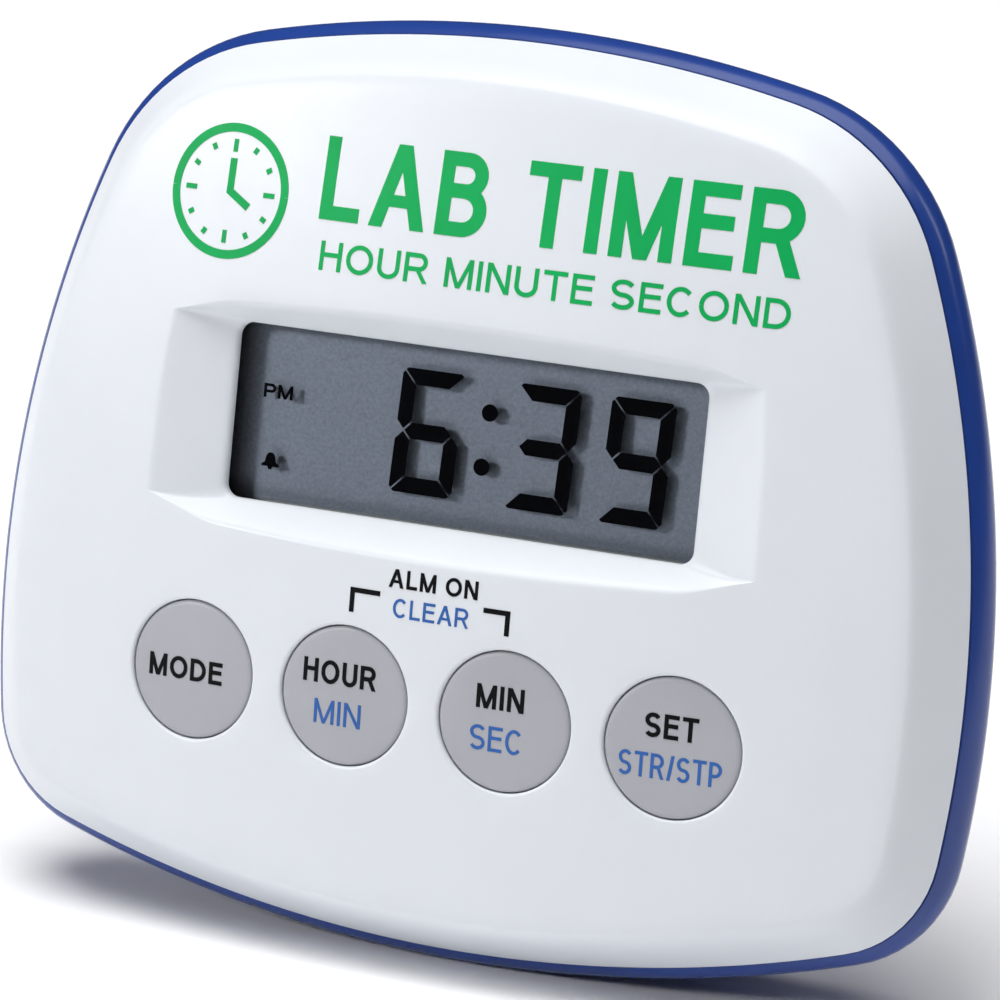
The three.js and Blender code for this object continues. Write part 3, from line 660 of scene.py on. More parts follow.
def add_window(skin):
    """The bevelled recess and the opening through the shell. Gives its outer and lining rings."""
    reach = bevel_reach()
    opening, bevel = window_outline(0), window_outline(WINDOW_EDGE)
    rings = [skin.ring(opening, WINDOW_BACK)]
    for t in (0.0, 0.25, 0.5, 0.75, 1.0):
        edge = opening + t * t * (bevel - opening)
        rings.append(skin.ring(edge, WINDOW_DEPTH + 2 * WINDOW_EDGE * (1 - t) ** 2 - WINDOW_EDGE * t * t))
    for share in (0.14, 0.22, 0.35, 0.5, 0.65, 0.77, 0.86, 0.92, 0.96, 1.0, 1.04, 1.08, 1.13, 1.2):
        out = share * reach
        points = bevel_points(out)
        width = np.interp(np.abs(points[:, 0]), EASING_AT, EASING_WIDTHS)
        depth = eased_max(WINDOW_DEPTH - out, crown(points[:, 0], points[:, 1]), width)
        start = len(skin.points)
        skin.points += [(x, y, z) for (x, z), y in zip(points, depth)]
        rings.append(list(range(start, len(skin.points))))
    skin.bands(rings)
    return rings[-1], rings[0]


def add_key_hole(skin, x):
    edge = ((0.3, 0.0), (0.18, 0.015), (0.08, 0.06), (0.02, 0.14), (0.0, 0.28))
    rings = [skin.ring(circle(KEY_HOLE + out, x, KEY_ROW), at_crown(drop)) for out, drop in edge]
    rings.append(skin.ring(circle(KEY_HOLE, x, KEY_ROW), at_crown(WALL)))
    skin.bands(rings)
    return rings[0], rings[-1]


def lining(x, z):
    return np.minimum(crown(x, z) + WALL, DEEPEST_LINING)


def front_shell():
    skin = Skin()
    window_front, window_back = add_window(skin)
    holes = [add_key_hole(skin, x) for x in key_places().values()]
    crease = eased([(-4.7, 0), (CREASE, 0.03, 1.1), (SHELL_EDGE, 1)], 8)
    outer = [skin.ring(rim(-4.7), crown)]
    outer += [skin.ring(rim(offset), between_crown_and(PARTING, share)) for offset, share in crease[1:-1]]
    last = crease[-2]
    for step in (0.3, 0.6, 0.9):
        offset = last[0] + step * (SHELL_EDGE - last[0])
        share = last[1] + step * (1 - last[1])
        outer.append(skin.ring(rim(offset), between_crown_and(PARTING, share)))
    lip = ((-1.0, -0.06), (-1.1, 0), (-1.85, 0), (-2.85, -1.35))
    for offset, ahead in lip:
        outer.append(skin.ring(rim(offset), PARTING + ahead))
    outer.append(skin.ring(rim(-5.0), lambda x, z: lining(x, z) + 0.2))
    outer.append(skin.ring(rim(-6.0), lining))
    skin.bands(outer)
    skin.fill(outer[0], [window_front] + [front for front, _ in holes], crown, 1.0)
    skin.fill(outer[-1], [window_back] + [back for _, back in holes], lining, 1.6)
    for x, z in CASE_SCREWS.values():
        root = crown(x, z) + WALL - 0.3
        skin.turned([(1.15, 4.2), (1.15, 9.4), (2.6, 9.4), (2.6, root)], x, z, 32)
    for x, z in BOARD_SCREWS:
        root = crown(x, z) + WALL - 0.3
        skin.turned([(0.8, 4.2), (0.8, 7.3), (1.5, 7.3), (1.5, root)], x, z, 24)
    add_solid("front_shell_skin", skin, WHITE, "case", "white_shell", ["front_shell"])


# ---------------------------------------------------------------- rear cover


def edge_rings(skin, outline_at, bottom, edge=0.25):
    """The rounded edge and wall of a hole in the flat back: its rings from the back inwards."""
    steps = ((edge, 0.0), (0.45 * edge, 0.2 * edge), (0.1 * edge, 0.6 * edge), (0.0, 1.1 * edge))
    rings = [skin.ring(outline_at(out), BACK - drop) for out, drop in steps]
    rings.append(skin.ring(outline_at(0), bottom))
    return rings


def along(lines):
    """Points along lines that are given as (start, end, number of steps), each without its end."""
    points = []
    for (x0, z0), (x1, z1), count in lines:
        points += [(x0 + (x1 - x0) * i / count, z0 + (z1 - z0) * i / count) for i in range(count)]
    return points


def recess_outline(out):
    """The stand's recess with its finger notch, grown by out."""
    half_x, low, high = RECESS_X + out, RECESS_LOW - out, RECESS_HIGH + out
    radius = THUMB_RADIUS + out
    meets = math.sqrt(radius**2 - (high - THUMB_Z) ** 2)
    right = (
        ((-half_x, low), (half_x, low), 24),
        ((half_x, low), (half_x, high), 20),
        ((half_x, high), (meets, high), 10),
    )
    left = (((-meets, high), (-half_x, high), 10), ((-half_x, high), (-half_x, low), 20))
    start = math.acos(meets / radius)
    sweep = math.pi - 2 * start
    turns = [start + sweep * i / 14 for i in range(14)]
    notch = [(radius * math.cos(turn), THUMB_Z + radius * math.sin(turn)) for turn in turns]
    return np.array(along(right) + notch + along(left))


def sound_places():
    turns = [number * math.pi / 3 for number in range(6)]
    around = [(SOUND_RING * math.cos(turn), SOUND_RING * math.sin(turn)) for turn in turns]
    return [(x, SOUND_Z + z) for x, z in [(0, 0), *around]]


def rear_cover():
    skin = Skin()
    bead = [
        (-BEAD + BEAD * math.cos(math.radians(a)), RIM_DEPTH + BEAD * math.sin(math.radians(a)))
        for a in range(-56, 57, 8)
    ]
    section = [
        (-4.4, BACK_LINING),
        (-4.0, 11.0),
        (-4.0, 5.0),
        (-3.05, 5.0),
        (-2.05, JOINT),
        *bead,
        *eased([(-0.95, 9.85), (-1.9, 11.6), (-3.0, 13.6), (-3.95, 15.5, 1.5), (-5.55, BACK)], 7)[1:],
    ]
    rings = [skin.ring(rim(offset), depth) for offset, depth in section]
    skin.bands(rings)
    back_holes, lining_holes = [], []

    for x, z in CASE_SCREWS.values():
        bore = edge_rings(skin, lambda out, x=x, z=z: circle(2.4 + out, x, z, 40), 10.9)
        bore += skin.circles(((1.25, 10.9), (1.25, 9.6), (3.2, 9.6), (3.2, BACK_LINING)), x, z, 40)
        skin.bands(bore)
        back_holes.append(bore[0])
        lining_holes.append(bore[-1])

    for x, z in MAGNETS.values():
        seat = edge_rings(skin, lambda out, x=x, z=z: circle(4.7 + out, x, z), 13.2, 0.15)
        skin.bands(seat)
        skin.cap(seat[-1])
        back_holes.append(seat[0])

    door = edge_rings(skin, lambda out: circle(8.8 + out, 0, DOOR_Z, 96), 14.4)
    bay = ((7.2, 14.4), (7.2, 13.4), (8.7, 13.4), (8.7, 12.3), (6.1, 12.3), (6.1, 9.2), (9.8, 9.2))
    door += skin.circles((*bay, (9.8, BACK_LINING)), 0, DOOR_Z, 96)
    skin.bands(door)
    back_holes.append(door[0])
    lining_holes.append(door[-1])

    recess = edge_rings(skin, recess_outline, RECESS_FLOOR, 0.18)
    skin.bands(recess)
    back_holes.append(recess[0])
    floor_holes = []
    edge = ((0.12, RECESS_FLOOR), (0.03, RECESS_FLOOR - 0.04), (0, RECESS_FLOOR - 0.15), (0, BACK_LINING))
    for x, z in sound_places():
        hole = [skin.ring(circle(SOUND_HOLE + out, x, z, 24), depth) for out, depth in edge]
        skin.bands(hole)
        floor_holes.append(hole[0])
        lining_holes.append(hole[-1])

    skin.fill(recess[-1], floor_holes, lambda x, z: RECESS_FLOOR, 1.3)
    skin.fill(rings[-1], back_holes, lambda x, z: BACK, 1.3)
    skin.fill(rings[0], lining_holes, lambda x, z: BACK_LINING, 1.6)
    add_solid("rear_cover_skin", skin, BLUE, "case", "blue_cover", ["rear_cover"])


# ---------------------------------------------------------------- keys


def key_caps():
    for name, x in key_places().items():
        skin = Skin()
        top = [(0.9, 0.0), (1.8, 0.0), (2.7, 0.0), (3.5, 0.0), (4.2, 0.0), (4.55, 0.012)]
        top += [(4.75, 0.035), (4.84, 0.09), (4.9, 0.18), (KEY_RADIUS, 0.3)]
        rings = [skin.ring(circle(out, x, KEY_ROW, 72), at_crown(KEY_SINK + drop)) for out, drop in top]
        below = ((KEY_RADIUS, FLANGE_FRONT), (FLANGE_RADIUS, FLANGE_FRONT), (FLANGE_RADIUS, FLANGE_BACK))
        rings += skin.circles(below, x, KEY_ROW, 72)
        skin.bands(rings)
        skin.cap(rings[0])
        skin.cap(rings[-1])
        add_solid(f"key_cap_{name}", skin, GREY, f"{name}_key", "grey_cap", [f"button_{name}"])


# ---------------------------------------------------------------- lettering and print

LETTER_WIDTHS = {
    "A": 0.92, "B": 0.80, "C": 0.90, "D": 0.86, "E": 0.74, "H": 0.80, "I": 0.0, "L": 0.66, "M": 0.98,
    "N": 0.82, "O": 0.98, "P": 0.78, "R": 0.86, "S": 0.80, "T": 0.82, "U": 0.80, "/": 0.42, " ": 0.26,
}
LETTER_GAP = 0.17


def arc(x, z, radius_x, radius_z, start, end, steps=14):
    """Points on an ellipse, from a start angle to an end angle in degrees from +X."""
    angles = [math.radians(start + (end - start) * step / steps) for step in range(steps + 1)]
    return [(x + radius_x * math.cos(angle), z + radius_z * math.sin(angle)) for angle in angles]


def stroke(points, width):
    """The outline of a line of even width through points, with mitred corners."""
    points = np.array(points, float)
    ways = np.diff(points, axis=0)
    ways /= np.linalg.norm(ways, axis=1)[:, None]
    sides = np.column_stack((-ways[:, 1], ways[:, 0]))
    left, right = [], []
    for number, point in enumerate(points):
        near = sides[max(0, number - 1) : number + 1]
        mitre = near.sum(0)
        mitre /= mitre @ near[0]
        left.append(tuple(point + mitre * width / 2))
        right.append(tuple(point - mitre * width / 2))
    return left + right[::-1]


def hoop(x, z, radius, width):
    """The two half rings that make a circular line."""
    return [stroke(arc(x, z, radius, radius, start, start + 180, 32), width) for start in (0, 180)]


def bar(x0, z0, x1, z1):
    return [(x0, z0), (x1, z0), (x1, z1), (x0, z1)]


def slant(low_x, high_x, low_z, high_z, across):
    """A slanted stem with level ends, given by the left ends of its foot and of its head."""
    return [(low_x, low_z), (low_x + across, low_z), (high_x + across, high_z), (high_x, high_z)]


def bowl(w, low, high, t):
    """The rounded side of a B, D, P or R, between the middles of its level strokes."""
    radius = (high - low) / 2
    reach = min(radius, 0.55 * w)
    bend = arc(w - t / 2 - reach, low + radius, reach, radius, 90, -90)
    return stroke([(t / 2, high), *bend, (t / 2, low)], t)


def letter(name, w, h, t):
    """The outlines that make a plain capital of width w and height h with strokes t wide."""
    half = t / 2
    stem = bar(0, 0, t, h)
    far_stem = bar(w - t, 0, w, h)
    wide = t * math.hypot(1, 0.45 * w / h)
    middle_z = 0.54 * h
    shapes = {
        "A": lambda: [
            slant(0, w / 2 - wide / 2, 0, h, wide),
            slant(w - wide, w / 2 - wide / 2, 0, h, wide),
            bar(0.22 * w, 0.25 * h, 0.78 * w, 0.25 * h + 0.85 * t),
        ],
        "B": lambda: [stem, bowl(0.95 * w, middle_z, h - half, t), bowl(w, half, middle_z, t)],
        "C": lambda: [stroke(arc(w / 2, h / 2, w / 2 - half, h / 2 - half, 42, 318, 24), t)],
        "D": lambda: [stem, bowl(w, half, h - half, t)],
        "E": lambda: [
            stem,
            bar(0, 0, w, t),
            bar(0, middle_z - half, 0.94 * w, middle_z + half),
            bar(0, h - t, w, h),
        ],
        "H": lambda: [stem, far_stem, bar(0, middle_z - half, w, middle_z + half)],
        "I": lambda: [stem],
        "L": lambda: [stem, bar(0, 0, w, t)],
        "M": lambda: [
            stem,
            far_stem,
            slant(w / 2 - half, 0, 0, h, t),
            slant(w / 2 - half, w - t, 0, h, t),
        ],
        "N": lambda: [stem, far_stem, slant(w - 1.15 * t, 0, 0, h, 1.15 * t)],
        "O": lambda: [
            stroke(arc(w / 2, h / 2, w / 2 - half, h / 2 - half, start, start + 180, 18), t)
            for start in (0, 180)
        ],
        "P": lambda: [stem, bowl(w, 0.44 * h, h - half, t)],
        "R": lambda: [
            stem,
            bowl(0.95 * w, 0.46 * h, h - half, t),
            slant(w - wide, 0.45 * w, 0, 0.46 * h, wide),
        ],
        "S": lambda: [
            stroke(
                arc(w / 2, 0.745 * h - half / 2, w / 2 - half, 0.255 * h - half / 2, 28, 270, 20)
                + arc(w / 2, 0.245 * h + half / 2, w / 2 - half, 0.245 * h - half / 2, 90, -154, 20)[1:],
                t,
            )
        ],
        "T": lambda: [bar(w / 2 - half, 0, w / 2 + half, h), bar(0, h - t, w, h)],
        "U": lambda: [
            stroke(
                [(half, h), *arc(w / 2, 0.36 * h, w / 2 - half, 0.36 * h - half, 180, 360), (w - half, h)],
                t,
            )
        ],
        "/": lambda: [slant(0, w - t, 0, h, t)],
        " ": lambda: [],
    }
    return shapes[name]()


def word(text, box, thick):
    """The outlines of text that fills a box (X from, X to, Z from, Z to)."""
    x0, x1, z0, z1 = box
    stems = sum(thick for name in text if name == "I")
    units = sum(LETTER_WIDTHS[name] for name in text) + LETTER_GAP * (len(text) - 1)
    unit = (x1 - x0 - stems) / units
    shapes, x = [], x0
    for name in text:
        width = thick if name == "I" else LETTER_WIDTHS[name] * unit
        for shape in letter(name, width, z1 - z0, thick):
            shapes.append([(x + p, z0 + q) for p, q in shape])
        x += width + LETTER_GAP * unit
    return shapes


def counterclockwise(shape):
    x, z = np.array(shape).T
    area = np.sum(x * np.roll(z, -1) - z * np.roll(x, -1))
    return list(shape) if area > 0 else list(shape)[::-1]


def add_flat(skin, shapes, surface, proud=INK, sunk=0.05):
    """Adds the union of flat outlines, laid on a surface as a thin closed slab."""
    shapes = [counterclockwise(shape) for shape in shapes]
    corners = [Vector(point) for shape in shapes for point in shape]
    loops, start = [], 0
    for shape in shapes:
        loops.append(list(range(start, start + len(shape))))
        start += len(shape)
    made = delaunay_2d_cdt(corners, [], loops, 0, 1e-6, True)
    triangles = [tuple(face) for face, inside in zip(made[2], made[5]) if inside]
    used = sorted({i for face in triangles for i in face})
    front = {}
    for i in used:
        x, z = made[0][i]
        front[i] = len(skin.points)
        skin.points.append((x, surface(x, z) - proud, z))
        skin.points.append((x, surface(x, z) + sunk, z))
    edges = {(face[i], face[(i + 1) % 3]) for face in triangles for i in range(3)}
    for face in triangles:
        skin.faces.append(tuple(front[i] for i in face))
        skin.faces.append(tuple(front[i] + 1 for i in reversed(face)))
    for a, b in sorted(edges):
        if (b, a) not in edges:
            skin.faces.append((front[a], front[a] + 1, front[b] + 1, front[b]))


def add_print(name, shapes, surface, ink, body="case"):
    skin = Skin()
    add_flat(skin, shapes, surface)
    add_solid(name, skin, ink, body)


def face_print():
    add_print("print_title", word("LAB TIMER", (-11.9, 23.9, 32.6, 38.4), 1.0), crown, INK_GREEN)
    line = word("HOUR MINUTE SECOND", (-11.4, 23.6, 29.1, 31.15), 0.32)
    add_print("print_line", line, crown, INK_GREEN)

    x, z = -19.3, 33.7
    dial = hoop(x, z, 4.45, 0.62)
    for hour in range(12):
        angle = hour * math.pi / 6
        reach = 2.75 if hour % 3 == 0 else 3.2
        ends = [(x + r * math.sin(angle), z + r * math.cos(angle)) for r in (reach, 3.65)]
        dial.append(stroke(ends, 0.36))
    dial.append(stroke([(x, z + 2.3), (x, z), (x + 1.65, z - 1.0)], 0.55))
    add_print("print_dial", dial, crown, INK_GREEN)

    brackets = [
        stroke([(-3.95, 7.42), (-6.1, 7.42), (-6.1, 5.85)], 0.36),
        stroke([(3.98, 7.42), (5.82, 7.42), (5.82, 5.85)], 0.36),
    ]
    alarm = word("ALM ON", (-3.35, 3.46, 8.02, 9.32), 0.24) + brackets
    add_print("print_alarm", alarm, crown, INK_BLACK)
    add_print("print_clear", word("CLEAR", (-2.88, 2.92, 5.95, 7.3), 0.2), crown, INK_BLUE)


KEY_WORDS = {
    "mode": (("MODE", INK_BLACK, (-22.2, -16.12, -0.98, 0.62)),),
    "hour": (
        ("HOUR", INK_BLACK, (-9.56, -3.82, 0.52, 2.2)),
        ("MIN", INK_BLUE, (-8.54, -4.87, -2.33, -0.62)),
    ),
    "minute": (
        ("MIN", INK_BLACK, (3.9, 7.48, 0.64, 2.32)),
        ("SEC", INK_BLUE, (3.6, 7.55, -2.32, -0.56)),
    ),
    "set": (
        ("SET", INK_BLACK, (16.36, 20.2, 0.44, 2.15)),
        ("STR/STP", INK_BLUE, (14.65, 22.05, -2.4, -0.66)),
    ),
}


def key_print():
    for key, words in KEY_WORDS.items():
        for number, (text, ink, box) in enumerate(words):
            thick = 0.3 if ink is INK_BLACK else 0.23
            name = f"key_word_{key}_{number + 1}"
            add_print(name, word(text, box, thick), at_crown(KEY_SINK), ink, f"{key}_key")


# ---------------------------------------------------------------- display

DIGIT_WIDTH = 4.84
DIGIT_HEIGHT = 8.75
BAR_UPRIGHT = 1.08  # thickness of the upright bars
BAR_LEVEL = 1.14
BAR_GAP = 0.1  # half of the space between two bars, measured along either
BAR_TIP = 0.3
DIGIT_LOW = 14.16
DIGIT_SLANT = 0.04
DIGITS = ((-6.0, "acdefg"), (2.85, "abcdg"), (9.97, "abcdfg"))
COLON = ((1.2, 20.53), (0.96, 16.71))
COLON_RADIUS = 0.6
PM_BOX = (-16.35, -14.08, 19.44, 20.42)
BELL_PLACE = (-15.35, 14.6)
BELL = (
    (-0.68, 0.0), (-0.2, 0.0), (-0.1, -0.2), (0.1, -0.2), (0.2, 0.0), (0.68, 0.0), (0.68, 0.14),
    (0.42, 0.32), (0.34, 0.75), (0.16, 0.98), (-0.16, 0.98), (-0.34, 0.75), (-0.42, 0.32), (-0.68, 0.14),
)


def segment(name, x):
    """One bar of a seven-bar digit whose left edge is at x, as an outline."""
    w, h, g, c = DIGIT_WIDTH, DIGIT_HEIGHT / 2, BAR_GAP, BAR_TIP
    u, v = BAR_UPRIGHT, BAR_LEVEL
    level = [
        (g + c, 0),
        (w - g - c, 0),
        (w - g - c / 3, c / 2),
        (w - u - g, v),
        (u + g, v),
        (g + c / 3, c / 2),
    ]
    upright = [
        (0, g + c),
        (c / 2, g + c / 2),
        (u, v + g),
        (u, h - v / 2 - g),
        (u / 2, h - g),
        (0, h - v / 2 - g),
    ]
    shapes = {
        "d": level,
        "a": [(p, 2 * h - q) for p, q in level],
        "g": [
            (u / 2 + g, h),
            (u + g, h - v / 2),
            (w - u - g, h - v / 2),
            (w - u / 2 - g, h),
            (w - u - g, h + v / 2),
            (u + g, h + v / 2),
        ],
        "e": upright,
        "f": [(p, 2 * h - q) for p, q in upright],
        "c": [(w - p, q) for p, q in upright],
        "b": [(w - p, 2 * h - q) for p, q in upright],
    }
    return [(x + p + q * DIGIT_SLANT, DIGIT_LOW + q) for p, q in shapes[name]]


def display():
    def plane(x, z):
        return SEGMENT_FRONT

    thin = {"proud": 0.0, "sunk": SEGMENT_BACK - SEGMENT_FRONT}
    digits = Skin()
    bars = [segment(name, x) for x, lit in DIGITS for name in lit]
    dots = [[tuple(point) for point in circle(COLON_RADIUS, x, z, 40)] for x, z in COLON]
    add_flat(digits, bars + dots, plane, **thin)
    add_solid("lcd_digits", digits, SEGMENTS, "case")

    marks = Skin()
    x, z = BELL_PLACE
    add_flat(marks, word("PM", PM_BOX, 0.2) + [[(x + p, z + q) for p, q in BELL]], plane, **thin)
    add_solid("lcd_marks", marks, SEGMENTS, "case")


# ---------------------------------------------------------------- back pieces


def magnets():
    for name, (x, z) in MAGNETS.items():
        skin = Skin()
        section = eased([(0.6, 13.4), (4.5, 13.4, 0.25), (4.5, 15.75, 0.35), (0.6, 15.75)])
        skin.turned(section, x, z, 72)
        add_solid(f"{name}_disc", skin, NICKEL, "case", "nickel", [name])


def cross_head(skin, x, z, top, radius, height, shaft, tip):
    """A domed screw head with a cross recess, on a plain shaft with a point."""
    arm, half = 0.62 * radius, 0.17 * radius
    floor = top - 0.62 * height
    cross = [(half, -arm), (half, -half), (arm, -half), (arm, half), (half, half), (half, arm)]
    cross += [(-p, -q) for p, q in cross]
    cross = np.array(cross) + (x, z)
    order = np.argsort(np.arctan2(cross[:, 1] - z, cross[:, 0] - x))
    cross = cross[order]
    dome = eased([(0.75 * radius, top), (radius, top - 0.45 * height, 0.3), (radius, top - height)], 5)
    below = [(shaft, top - height), (shaft, tip + 0.8), (0.2, tip)]
    rings = skin.circles(dome + below, x, z, 36)
    skin.bands(rings)
    skin.cap(rings[-1])
    upper = skin.ring(cross, top)
    lower = skin.ring(cross, floor)
    skin.band(upper, lower)
    skin.cap(lower)
    skin.fill(rings[0], [upper], lambda x, z: top, 0.5)


def case_screws():
    for name, (x, z) in CASE_SCREWS.items():
        skin = Skin()
        cross_head(skin, x, z, 12.25, 1.9, 1.3, 1.0, 4.5)
        node = f"case_screw_{name}"
        add_solid(f"{node}_head", skin, STEEL, "case", "steel", [node])


def battery_door():
    """The coin-slotted lid, its skirt and its two bayonet tabs."""
    skin = Skin()
    slot = rounded_rectangle(5.5, 0.8, 0.75, (16, 2), 6, z=DOOR_Z)
    edge = eased([(LID_RADIUS, LID_FRONT, 0.15), (LID_RADIUS, LID_BACK, 0.3), (7.6, LID_BACK)])
    lid = skin.circles([(6.9, LID_FRONT), *edge], 0, DOOR_Z, 96)
    below = ((6.35, LID_FRONT), (6.35, 12.5), (6.9, 12.5))
    skirt = skin.circles(below, 0, DOOR_Z, 96)
    skin.bands([*skirt, *lid])
    skin.cap(skirt[0])
    steps = ((0.15, LID_BACK), (0.04, LID_BACK - 0.03), (0.0, LID_BACK - 0.12), (0.0, LID_BACK - 0.45))
    slot_rings = [skin.ring(grown(slot, out), y) for out, y in steps]
    skin.bands(slot_rings)
    skin.cap(slot_rings[-1])
    skin.fill(lid[-1], [slot_rings[0]], lambda x, z: LID_BACK, 1.1)
    for side in (-1, 1):
        near, far = sorted((side * 6.7, side * 8.2))
        skin.block((near, 12.5, DOOR_Z - 2), (far, 13.2, DOOR_Z + 2))
    add_solid("battery_lid", skin, BLUE, "battery_door", "blue_cover", ["battery_door"])

    mark = Skin()
    bend = arc(0, DOOR_Z, ARROW_RADIUS, ARROW_RADIUS, 118, 62)
    tip_x, tip_z = bend[-1]
    head = [(tip_x + 0.9, tip_z - 0.75), (tip_x + 0.25, tip_z + 0.75), (tip_x - 0.65, tip_z - 0.35)]
    add_flat(mark, [stroke(bend, 0.35), head], lambda x, z: LID_BACK, proud=-0.02, sunk=0.22)
    add_solid("battery_lid_arrow", mark, BLUE, "battery_door", "blue_cover")


def stand_place(points):
    """Carries points from the folded stand's own frame to its open pose in the face frame."""
    hinge = (Vector(JOINTS["stand_fold"]["pos_m"]) - ORIGIN) / MM
    hinge = np.array(TURN.transposed() @ hinge)
    drop = JOINTS["stand_fold"]["pos_m"][2] / MM
    run = STAND_LENGTH - STAND_FOOT
    fall = math.asin(drop / math.hypot(run, STAND_OUTER)) - math.atan2(STAND_OUTER, run)
    opening = math.pi / 2 - LEAN + fall
    spin = np.array(Matrix.Rotation(-opening, 3, "X"))
    return points @ spin.T + hinge


def stand_outline(inset):
    """The flap's outline: square at the hinge and round at the far end, drawn in by inset."""
    half_x = STAND_X - inset
    far = STAND_LENGTH - inset
    corner = STAND_CORNER - inset
    points = [(-half_x + 2 * half_x * i / 20, 0.0) for i in range(21)]
    points += [(half_x, (far - corner) * i / 14) for i in range(1, 14)]
    points += arc(half_x - corner, far - corner, corner, corner, 0, 90, 8)
    points += [(half_x - corner - 2 * (half_x - corner) * i / 18, far) for i in range(1, 18)]
    points += arc(-half_x + corner, far - corner, corner, corner, 90, 180, 8)
    points += [(-half_x, (far - corner) * (1 - i / 14)) for i in range(1, 14)]
    return np.array(points)


def stand():
    skin = Skin()
    edge = 0.35
    inner, outer = STAND_INNER, STAND_OUTER
    sides = (
        (edge, inner),
        (0.1, inner + 0.1),
        (0.0, inner + edge),
        (0.0, outer - edge),
        (0.1, outer - 0.1),
        (edge, outer),
    )
    rings = [skin.ring(stand_outline(inset), depth) for inset, depth in sides]
    skin.bands(rings)
    skin.fill(rings[0], [], lambda x, z: inner, 1.2)
    steps = ((0.12, outer), (0.03, outer - 0.04), (0.0, outer - 0.12), (0.0, outer - 0.4))
    panel = [
        skin.ring(rounded_rectangle(11 + out, 7 + out, 1.5 + out, (20, 12), 6, z=12), depth)
        for out, depth in steps
    ]
    skin.bands(panel)
    skin.fill(rings[-1], [panel[0]], lambda x, z: outer, 1.2)
    skin.fill(panel[-1], [], lambda x, z: outer - 0.4, 1.2)
    flap = mesh_from("stand_flap", skin, stand_place)

    barrel = Skin()
    sections = (
        (-STAND_X, 0.92),
        (-STAND_X, 1.15),
        (-STAND_X + 0.15, STAND_BARREL),
        (STAND_X - 0.15, STAND_BARREL),
        (STAND_X, 1.15),
        (STAND_X, 0.92),
    )
    loops = []
    for x, radius in sections:
        start = len(barrel.points)
        for i in range(32):
            angle = i / 32 * 2 * math.pi
            barrel.points.append((x, radius * math.cos(angle), radius * math.sin(angle)))
        loops.append(list(range(start, start + 32)))
    barrel.bands([*loops, loops[0]])
    tube = mesh_from("stand_barrel", barrel, stand_place)

    work = bmesh.new()
    work.from_mesh(flap)
    cut = bmesh.ops.bisect_plane(
        work,
        geom=[*work.verts, *work.edges, *work.faces],
        plane_co=(0, 0, 0),
        plane_no=(0, 0, -1),
        clear_outer=True,
    )
    rim_edges = [item for item in cut["geom_cut"] if isinstance(item, bmesh.types.BMEdge)]
    bmesh.ops.contextual_create(work, geom=rim_edges)
    bmesh.ops.recalc_face_normals(work, faces=work.faces)
    work.to_mesh(flap)
    work.free()
    flap.shade_smooth()
    flap.set_sharp_from_angle(angle=SHARP)
    piece("stand_flap", flap, BLUE, "stand", "blue_cover", ["stand"])
    piece("stand_barrel", tube, BLUE, "stand", "blue_cover")


# ---------------------------------------------------------------- carried-over CAD nodes


def finish_cad_nodes():
    for part in frame["record"]["subparts"]:
        node = frame["nodes"][part["node"]]
        node.data.materials.clear()
        node.data.materials.append(SLOT_MATERIALS[part["material_slot"]])


# ---------------------------------------------------------------- stage, lights and camera

# degrees to the right and above, seen from the face, then distance, width and height in metres, watts,
# and whether glossy pieces mirror the lamp
LAMPS = {
    "key": (-41, 14.5, 0.7, 0.14, 0.14, 1.83, True),
    "top": (-30, 68, 0.8, 0.5, 0.5, 4.5, False),
    "streak": (98, 37, 0.8, 0.08, 0.35, 0.45, True),
}
OVERHEAD_STRENGTH = 1.84
OVERHEAD_SPREAD = math.radians(60)
SKY_STRENGTH = 0.05
FLOOR_REACH = 6.0  # metres

EYE = Vector((167.712, -361.852, 59.547))
VIEW_SIDE = math.radians(24.31)
VIEW_ABOVE = math.radians(6.39)
VIEW_ROLL = math.radians(5.57)
LENS = 209.9


def direction(side, above):
    """Unit vector in the face frame, towards a place to the right of the face and above it."""
    level = math.cos(above)
    return Vector((math.sin(side) * level, -math.cos(side) * level, math.sin(above)))


def add_camera():
    back = direction(VIEW_SIDE, VIEW_ABOVE)
    level = Vector((math.cos(VIEW_SIDE), math.sin(VIEW_SIDE), 0))
    upright = back.cross(level)
    if upright.z < 0:
        upright = -upright
    right = math.cos(VIEW_ROLL) * level + math.sin(VIEW_ROLL) * upright
    up = math.cos(VIEW_ROLL) * upright - math.sin(VIEW_ROLL) * level
    axes = [TURN @ axis for axis in (right, up, back)]
    data = bpy.data.cameras.new("camera")
    data.lens = LENS
    data.clip_start = 0.01
    data.clip_end = 20
    camera = bpy.data.objects.new("camera", data)
    bpy.context.scene.collection.objects.link(camera)
    turn = Matrix(axes).transposed().to_4x4()
    camera.matrix_world = Matrix.Translation(Vector(to_row([EYE])[0])) @ turn
    bpy.context.scene.camera = camera


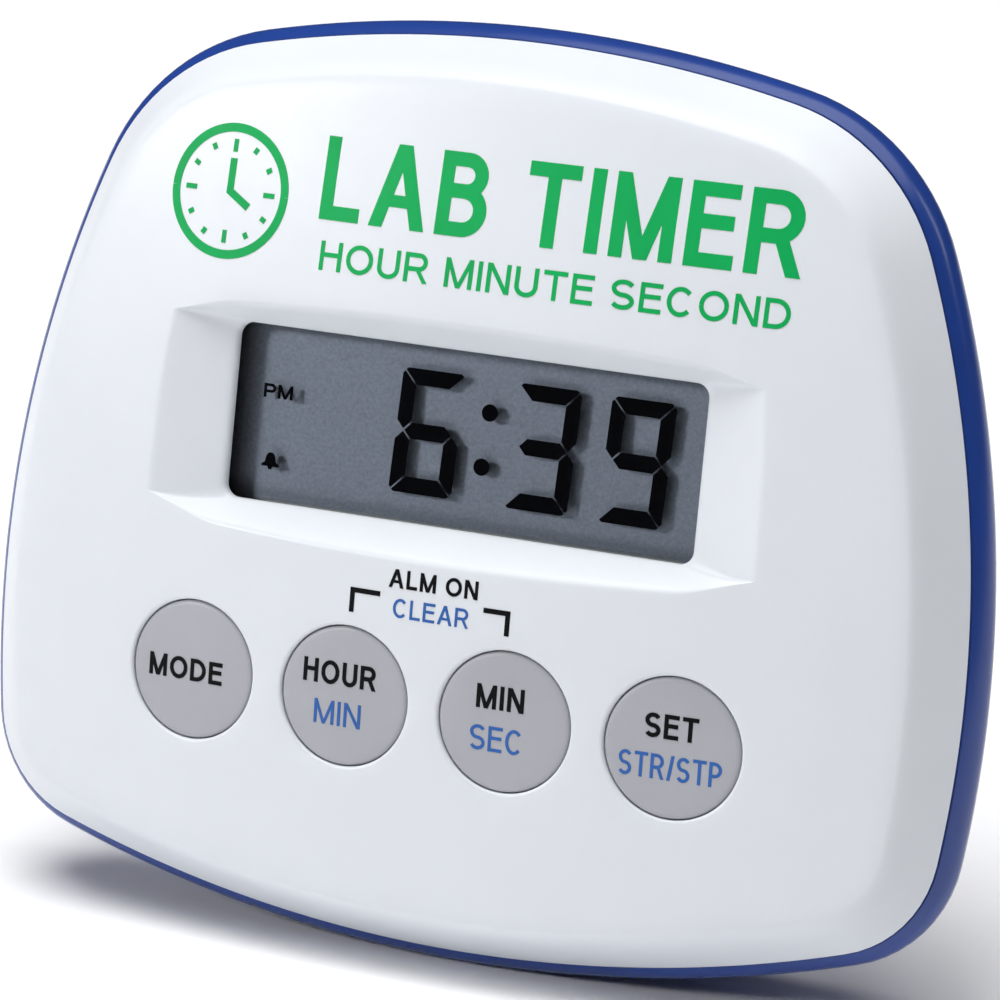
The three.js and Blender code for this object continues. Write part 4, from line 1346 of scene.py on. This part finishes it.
def add_lamp(name, side, above, distance, width, height, power, mirrored):
    """A soft rectangular lamp, aimed at the middle of the face."""
    data = bpy.data.lights.new(name, "AREA")
    data.shape = "RECTANGLE"
    data.size = width
    data.size_y = height
    data.energy = power
    lamp = bpy.data.objects.new(name, data)
    bpy.context.scene.collection.objects.link(lamp)
    away = TURN @ direction(math.radians(side), math.radians(above))
    centre = Vector(to_row([(0, 0, CROWN_PEAK)])[0])
    lamp.location = centre + away * distance
    lamp.rotation_mode = "QUATERNION"
    lamp.rotation_quaternion = away.to_track_quat("Z", "Y")
    lamp.visible_glossy = mirrored


def add_overhead():
    """A broad even light from above, a little to the right, that reaches all of the floor."""
    data = bpy.data.lights.new("overhead", "SUN")
    data.energy = OVERHEAD_STRENGTH
    data.angle = OVERHEAD_SPREAD
    sun = bpy.data.objects.new("overhead", data)
    bpy.context.scene.collection.objects.link(sun)
    sun.rotation_mode = "QUATERNION"
    sun.rotation_quaternion = Vector((0.12, 0.0, 0.99)).to_track_quat("Z", "Y")


def add_stage():
    mesh = bpy.data.meshes.new("floor")
    corners = [(x * FLOOR_REACH, y * FLOOR_REACH, 0) for x, y in ((-1, -1), (1, -1), (1, 1), (-1, 1))]
    mesh.from_pydata(corners, [], [(0, 1, 2, 3)])
    floor = bpy.data.objects.new("floor", mesh)
    mesh.materials.append(plastic("floor", (0.9, 0.9, 0.91), 0.8, grain=2, relief=0.0, variation=0.01))
    bpy.context.scene.collection.objects.link(floor)
    world = bpy.data.worlds.new("studio")
    world.use_nodes = True
    sky = world.node_tree.nodes["Background"]
    sky.inputs["Color"].default_value = (0.97, 0.98, 1.0, 1)
    sky.inputs["Strength"].default_value = SKY_STRENGTH
    bpy.context.scene.world = world
    bpy.context.scene.view_settings.view_transform = "Standard"


add_camera()
add_stage()
for lamp_name, lamp_values in LAMPS.items():
    add_lamp(lamp_name, *lamp_values)
add_overhead()
finish_cad_nodes()
front_shell()
rear_cover()
key_caps()
face_print()
key_print()
display()
magnets()
case_screws()
battery_door()
stand()
